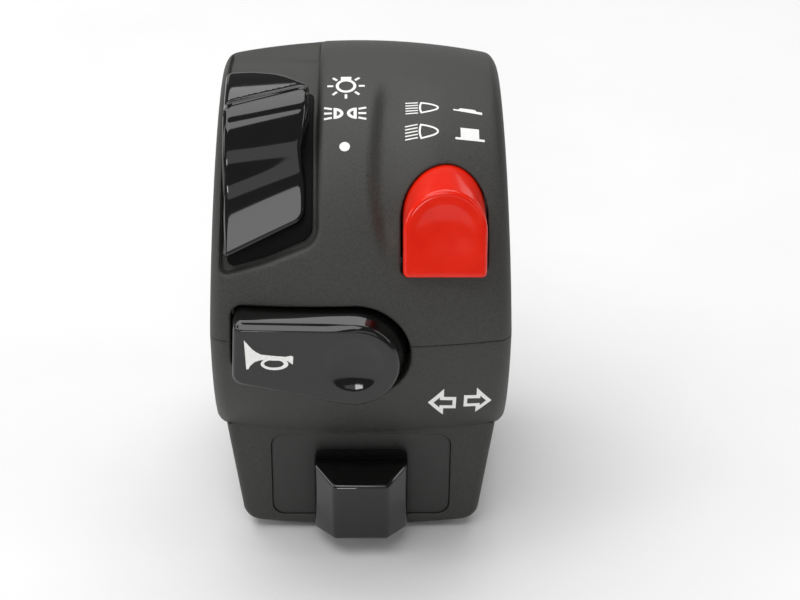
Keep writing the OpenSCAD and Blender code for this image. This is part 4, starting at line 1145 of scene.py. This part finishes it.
def print_on(name, shapes, place, step=0.6, body="housing"):
    """Fills each shape, lays its top 0.03 mm above the surface and its underside 0.02 mm below, and closes it."""
    work = Patchwork()
    for loops in shapes:
        loops = [subdivided(loop, step) for loop in loops]
        flat, tris = fill(loops, seeds(loops, step) if len(loops) == 1 else np.zeros((0, 2)))
        work.add(place(flat, INK_TOP), tris)
        work.add(place(flat, INK_FOOT), tris[:, ::-1])
        for loop in loops:
            work.grid(np.stack([place(loop, INK_TOP), place(loop, INK_FOOT)]), closed=True)
    piece(name, work, body, "housing_plastic", material=white_ink)


def on_barrel(x0, degrees):
    """Lays a symbol on the skin about a middle at x0 and an angle above the parting line."""
    return lambda p, h: on_skin(p + [x0, along(degrees)], h)


def lamp_side(back, long, half):
    """Lamp seen from the side: a nose at x = back + long (1 - |v|^2.3), v running from -1 to 1, and a bowed back."""
    v = np.linspace(-1, 1, 25)
    nose = np.column_stack([back + long * (1 - np.abs(v) ** 2.3), half * v])
    return np.vstack([nose, np.column_stack([back - 0.25 * (1 - v ** 2), -half * v])[1:-1]])


def mirrored(shapes):
    """The same shapes with x turned round, listed backwards so that they stay anticlockwise."""
    return [[(loop * [-1, 1])[::-1] for loop in loops] for loops in shapes]


def leaning(shapes, slope):
    """The same shapes with each point lowered or raised by a slope times its x."""
    return [[loop @ np.array([[1, slope], [0, 1]]) for loop in loops] for loops in shapes]


print("symbol helpers ready")

# %% Light symbols beside the lever
bulb = [outlined(arc_points((0, 0), 1.45, 0, 352, 45), 0.42),
        [np.vstack([arc_points((0, 0), 1.47, 120, 60, 9), [[0.74, 2.1], [-0.74, 2.1]]])]]
for t in np.radians([0, 45, 135, 180, 225, 270, 315]):
    ray = np.array([math.cos(t), math.sin(t)])
    bulb += [stroke(1.8 * ray, 2.65 * ray, 0.37)]
left_lamp = [outlined(arc_points((0, 0), 1.0, -90, 90, 25) * [1.38, 1] + [-1.62, 0], 0.45)]
left_lamp += [stroke((-1.85, 0.78 * v), (-2.95, 1.03 * v), 0.34) for v in (-1, 0, 1)]
print_on("print_head_lamp", bulb, on_barrel(-2.1, 75.3), 0.4)
print_on("print_side_lamps", left_lamp + mirrored(left_lamp), on_barrel(-2.2, 65.1), 0.4)
print_on("print_lamps_off", [[arc_points((0, 0), 0.73, 0, 350, 36)]], on_barrel(-2.25, 54.6))

# %% Beam symbols above the dip button
high = [outlined(lamp_side(-0.3, 2.55, 1.1), 0.27)]
high += [stroke((-2.45, v), (-0.68, v), 0.19) for v in np.linspace(-0.98, 0.98, 5)]
low = [outlined(lamp_side(-0.3, 2.55, 1.32), 0.27)]
low += [stroke((-2.45, v - 0.3), (-0.68, v), 0.2) for v in np.linspace(-1.05, 1.22, 5)]
v = np.linspace(-1, 1, 33)
hump = 0.3 * (1 - smoothstep(0.5, 0.64, np.abs(v)))
pushed = [[np.vstack([pairs(2.05 * v, -0.13 * v - 0.2 - 0.06 * v),
                      pairs(2.05 * v, -0.13 * v + 0.16 + 0.06 * v + hump)[::-1]])]]
raised = [[np.array([[-2.05, -1.05], [2.05, -1.15], [2.05, -0.77], [1.3, -0.75], [1.3, 0.95], [-1.3, 1.0],
                     [-1.3, -0.69], [-2.05, -0.67]])]]
print_on("print_high_beam", high, on_barrel(8.7, 68.1), 0.4)
print_on("print_low_beam", low, on_barrel(8.6, 60.0), 0.4)
print_on("print_pushed_in", pushed, on_barrel(15.0, 67.6))
print_on("print_let_out", raised, on_barrel(15.2, 59.8))

# %% Turn arrows and horn symbol
arrow = [[np.array([[-2.05, 0], [0.2, -3.25], [0.2, -1.45], [2.0, -1.45], [2.0, 1.45], [0.2, 1.45], [0.2, 3.25]]),
          np.array([[-1.25, 0], [-0.36, -1.3], [-0.36, -0.68], [1.5, -0.68], [1.5, 0.68], [-0.36, 0.68],
                    [-0.36, 1.3]])]]
print_on("print_turn_left", leaning(arrow, -0.2), on_barrel(11.6, -21.4))
print_on("print_turn_right", leaning(mirrored(arrow), -0.2), on_barrel(16.72, -22.5))


def on_horn(lift):
    """Lays a symbol on the horn button's face; a lift of a few thousandths keeps the coil above the horn's tube."""
    return lambda p, h: facing(p * 0.93 + [-12.7, 0.5], HORN_FACE + h + lift)


trumpet = np.array([[-3.61, 2.54], [-3.4, -2.52], [-3.1, -2.5], [-2.8, -1.9], [-2.08, -1.2], [-1.17, -0.9],
                    [2.7, -1.05], [3.16, -1.38], [3.52, -1.69], [3.61, -0.35], [3.34, -0.14], [2.44, -0.35],
                    [0.45, -0.16], [-1.17, 0.06], [-1.9, 0.5], [-2.44, 0.99], [-3.0, 1.7]])
turn = arc_points((0, 0), 1.0, 0, 352, 45)
coil = [[turn * [2.05, 1.05] + [0.81, -1.6], turn * [1.47, 0.67] + [0.72, -1.56]]]
print_on("print_horn", [[trumpet]], on_horn(0), 0.4, "horn_button")
print_on("print_horn_coil", coil, on_horn(0.004), 0.4, "horn_button")

# %% [markdown]
# ## Floor, light and camera
# A pale floor lies under the part. Polished plastic shows its lamps as clear shapes, so each lamp has one job: a
# large one overhead, a second one in front of it, with a dark gap between them that draws a thin line along every
# rounded edge, a dim card low in front that lightens the scoops, and a small lamp that leaves a spot in the horn's
# dimple. Dim cards behind and at the left, and a narrow strip at the right, draw the bright lines on the far edges.
# The camera is 300 mm from the handlebar's axis, 29 degrees above it.

# %% Floor
FLOOR_Z = -0.0375
floor_mesh = bpy.data.meshes.new("studio_floor")
floor_mesh.from_pydata([(x, y, FLOOR_Z) for x, y in ((-3, -3), (3, -3), (3, 3), (-3, 3))], [], [(0, 1, 2, 3)])
floor = bpy.data.objects.new("studio_floor", floor_mesh)
bpy.context.collection.objects.link(floor)
floor_mesh.materials.append(
    finish("matt_white_floor", ("#F0F0F0", "#F3F3F3"), (0.9, 0.95), 40.0, Specular_IOR_Level=0.0))
print("floor at", FLOOR_Z / MM, "mm")


# %% Lamps and world
def lamp(name, place, size, watts):
    """A rectangular soft lamp at a place in metres, turned to face the middle of the bore."""
    data = bpy.data.lights.new(name, "AREA")
    data.shape, data.size, data.size_y, data.energy = "RECTANGLE", *size, watts
    obj = bpy.data.objects.new(name, data)
    obj.location = place
    obj.rotation_euler = (-Vector(place)).to_track_quat("-Z", "Y").to_euler()
    bpy.context.collection.objects.link(obj)


lamp("top_lamp", (-0.08, 0.25, 0.77), (0.92, 0.65), 5.2)
lamp("front_top_lamp", (-0.2, -0.34, 0.725), (0.75, 0.37), 2.4)
lamp("front_card", (0.12, -0.85, 0.29), (0.8, 0.285), 0.55)
lamp("thumb_lamp", (-0.12, -0.83, 0.2), (0.17, 0.13), 0.6)
lamp("back_card", (0.0, 1.0, 0.3), (1.4, 0.35), 1.2)
lamp("left_card", (-0.95, -0.15, 0.3), (0.5, 0.4), 1.9)
lamp("right_strip", (0.8, -0.15, 0.45), (0.14, 0.6), 0.7)
world = bpy.data.worlds.new("studio_world")
bpy.context.scene.world = world
world.use_nodes = True
background = world.node_tree.nodes["Background"].inputs
background["Color"].default_value, background["Strength"].default_value = linear("#FFFFFF"), 0.18
print("lamps:", len(bpy.data.lights))

# %% Camera
ELEVATION, AWAY, FOCAL_PX, PHOTO_W, SENSOR = math.radians(29), 0.3, 1968.0, 800, 36.0
SHIFT_X, SHIFT_Y = 39, 58
back_to_eye = Vector((0, -math.cos(ELEVATION), math.sin(ELEVATION)))
right, upright = Vector((1, 0, 0)), Vector((0, math.sin(ELEVATION), math.cos(ELEVATION)))
aim = -back_to_eye + right * SHIFT_X / FOCAL_PX - upright * SHIFT_Y / FOCAL_PX
camera = bpy.data.objects.new("camera", bpy.data.cameras.new("camera"))
bpy.context.collection.objects.link(camera)
camera.data.sensor_width, camera.data.lens = SENSOR, SENSOR * FOCAL_PX / PHOTO_W
camera.data.clip_start, camera.data.clip_end = 0.01, 20.0
z_axis = (-aim).normalized()
x_axis = upright.cross(z_axis).normalized()
y_axis = z_axis.cross(x_axis)
camera.matrix_world = Matrix.Translation(back_to_eye * AWAY) @ Matrix((x_axis, y_axis, z_axis)).transposed().to_4x4()
bpy.context.scene.camera = camera
print("lens:", round(camera.data.lens, 1), "mm")
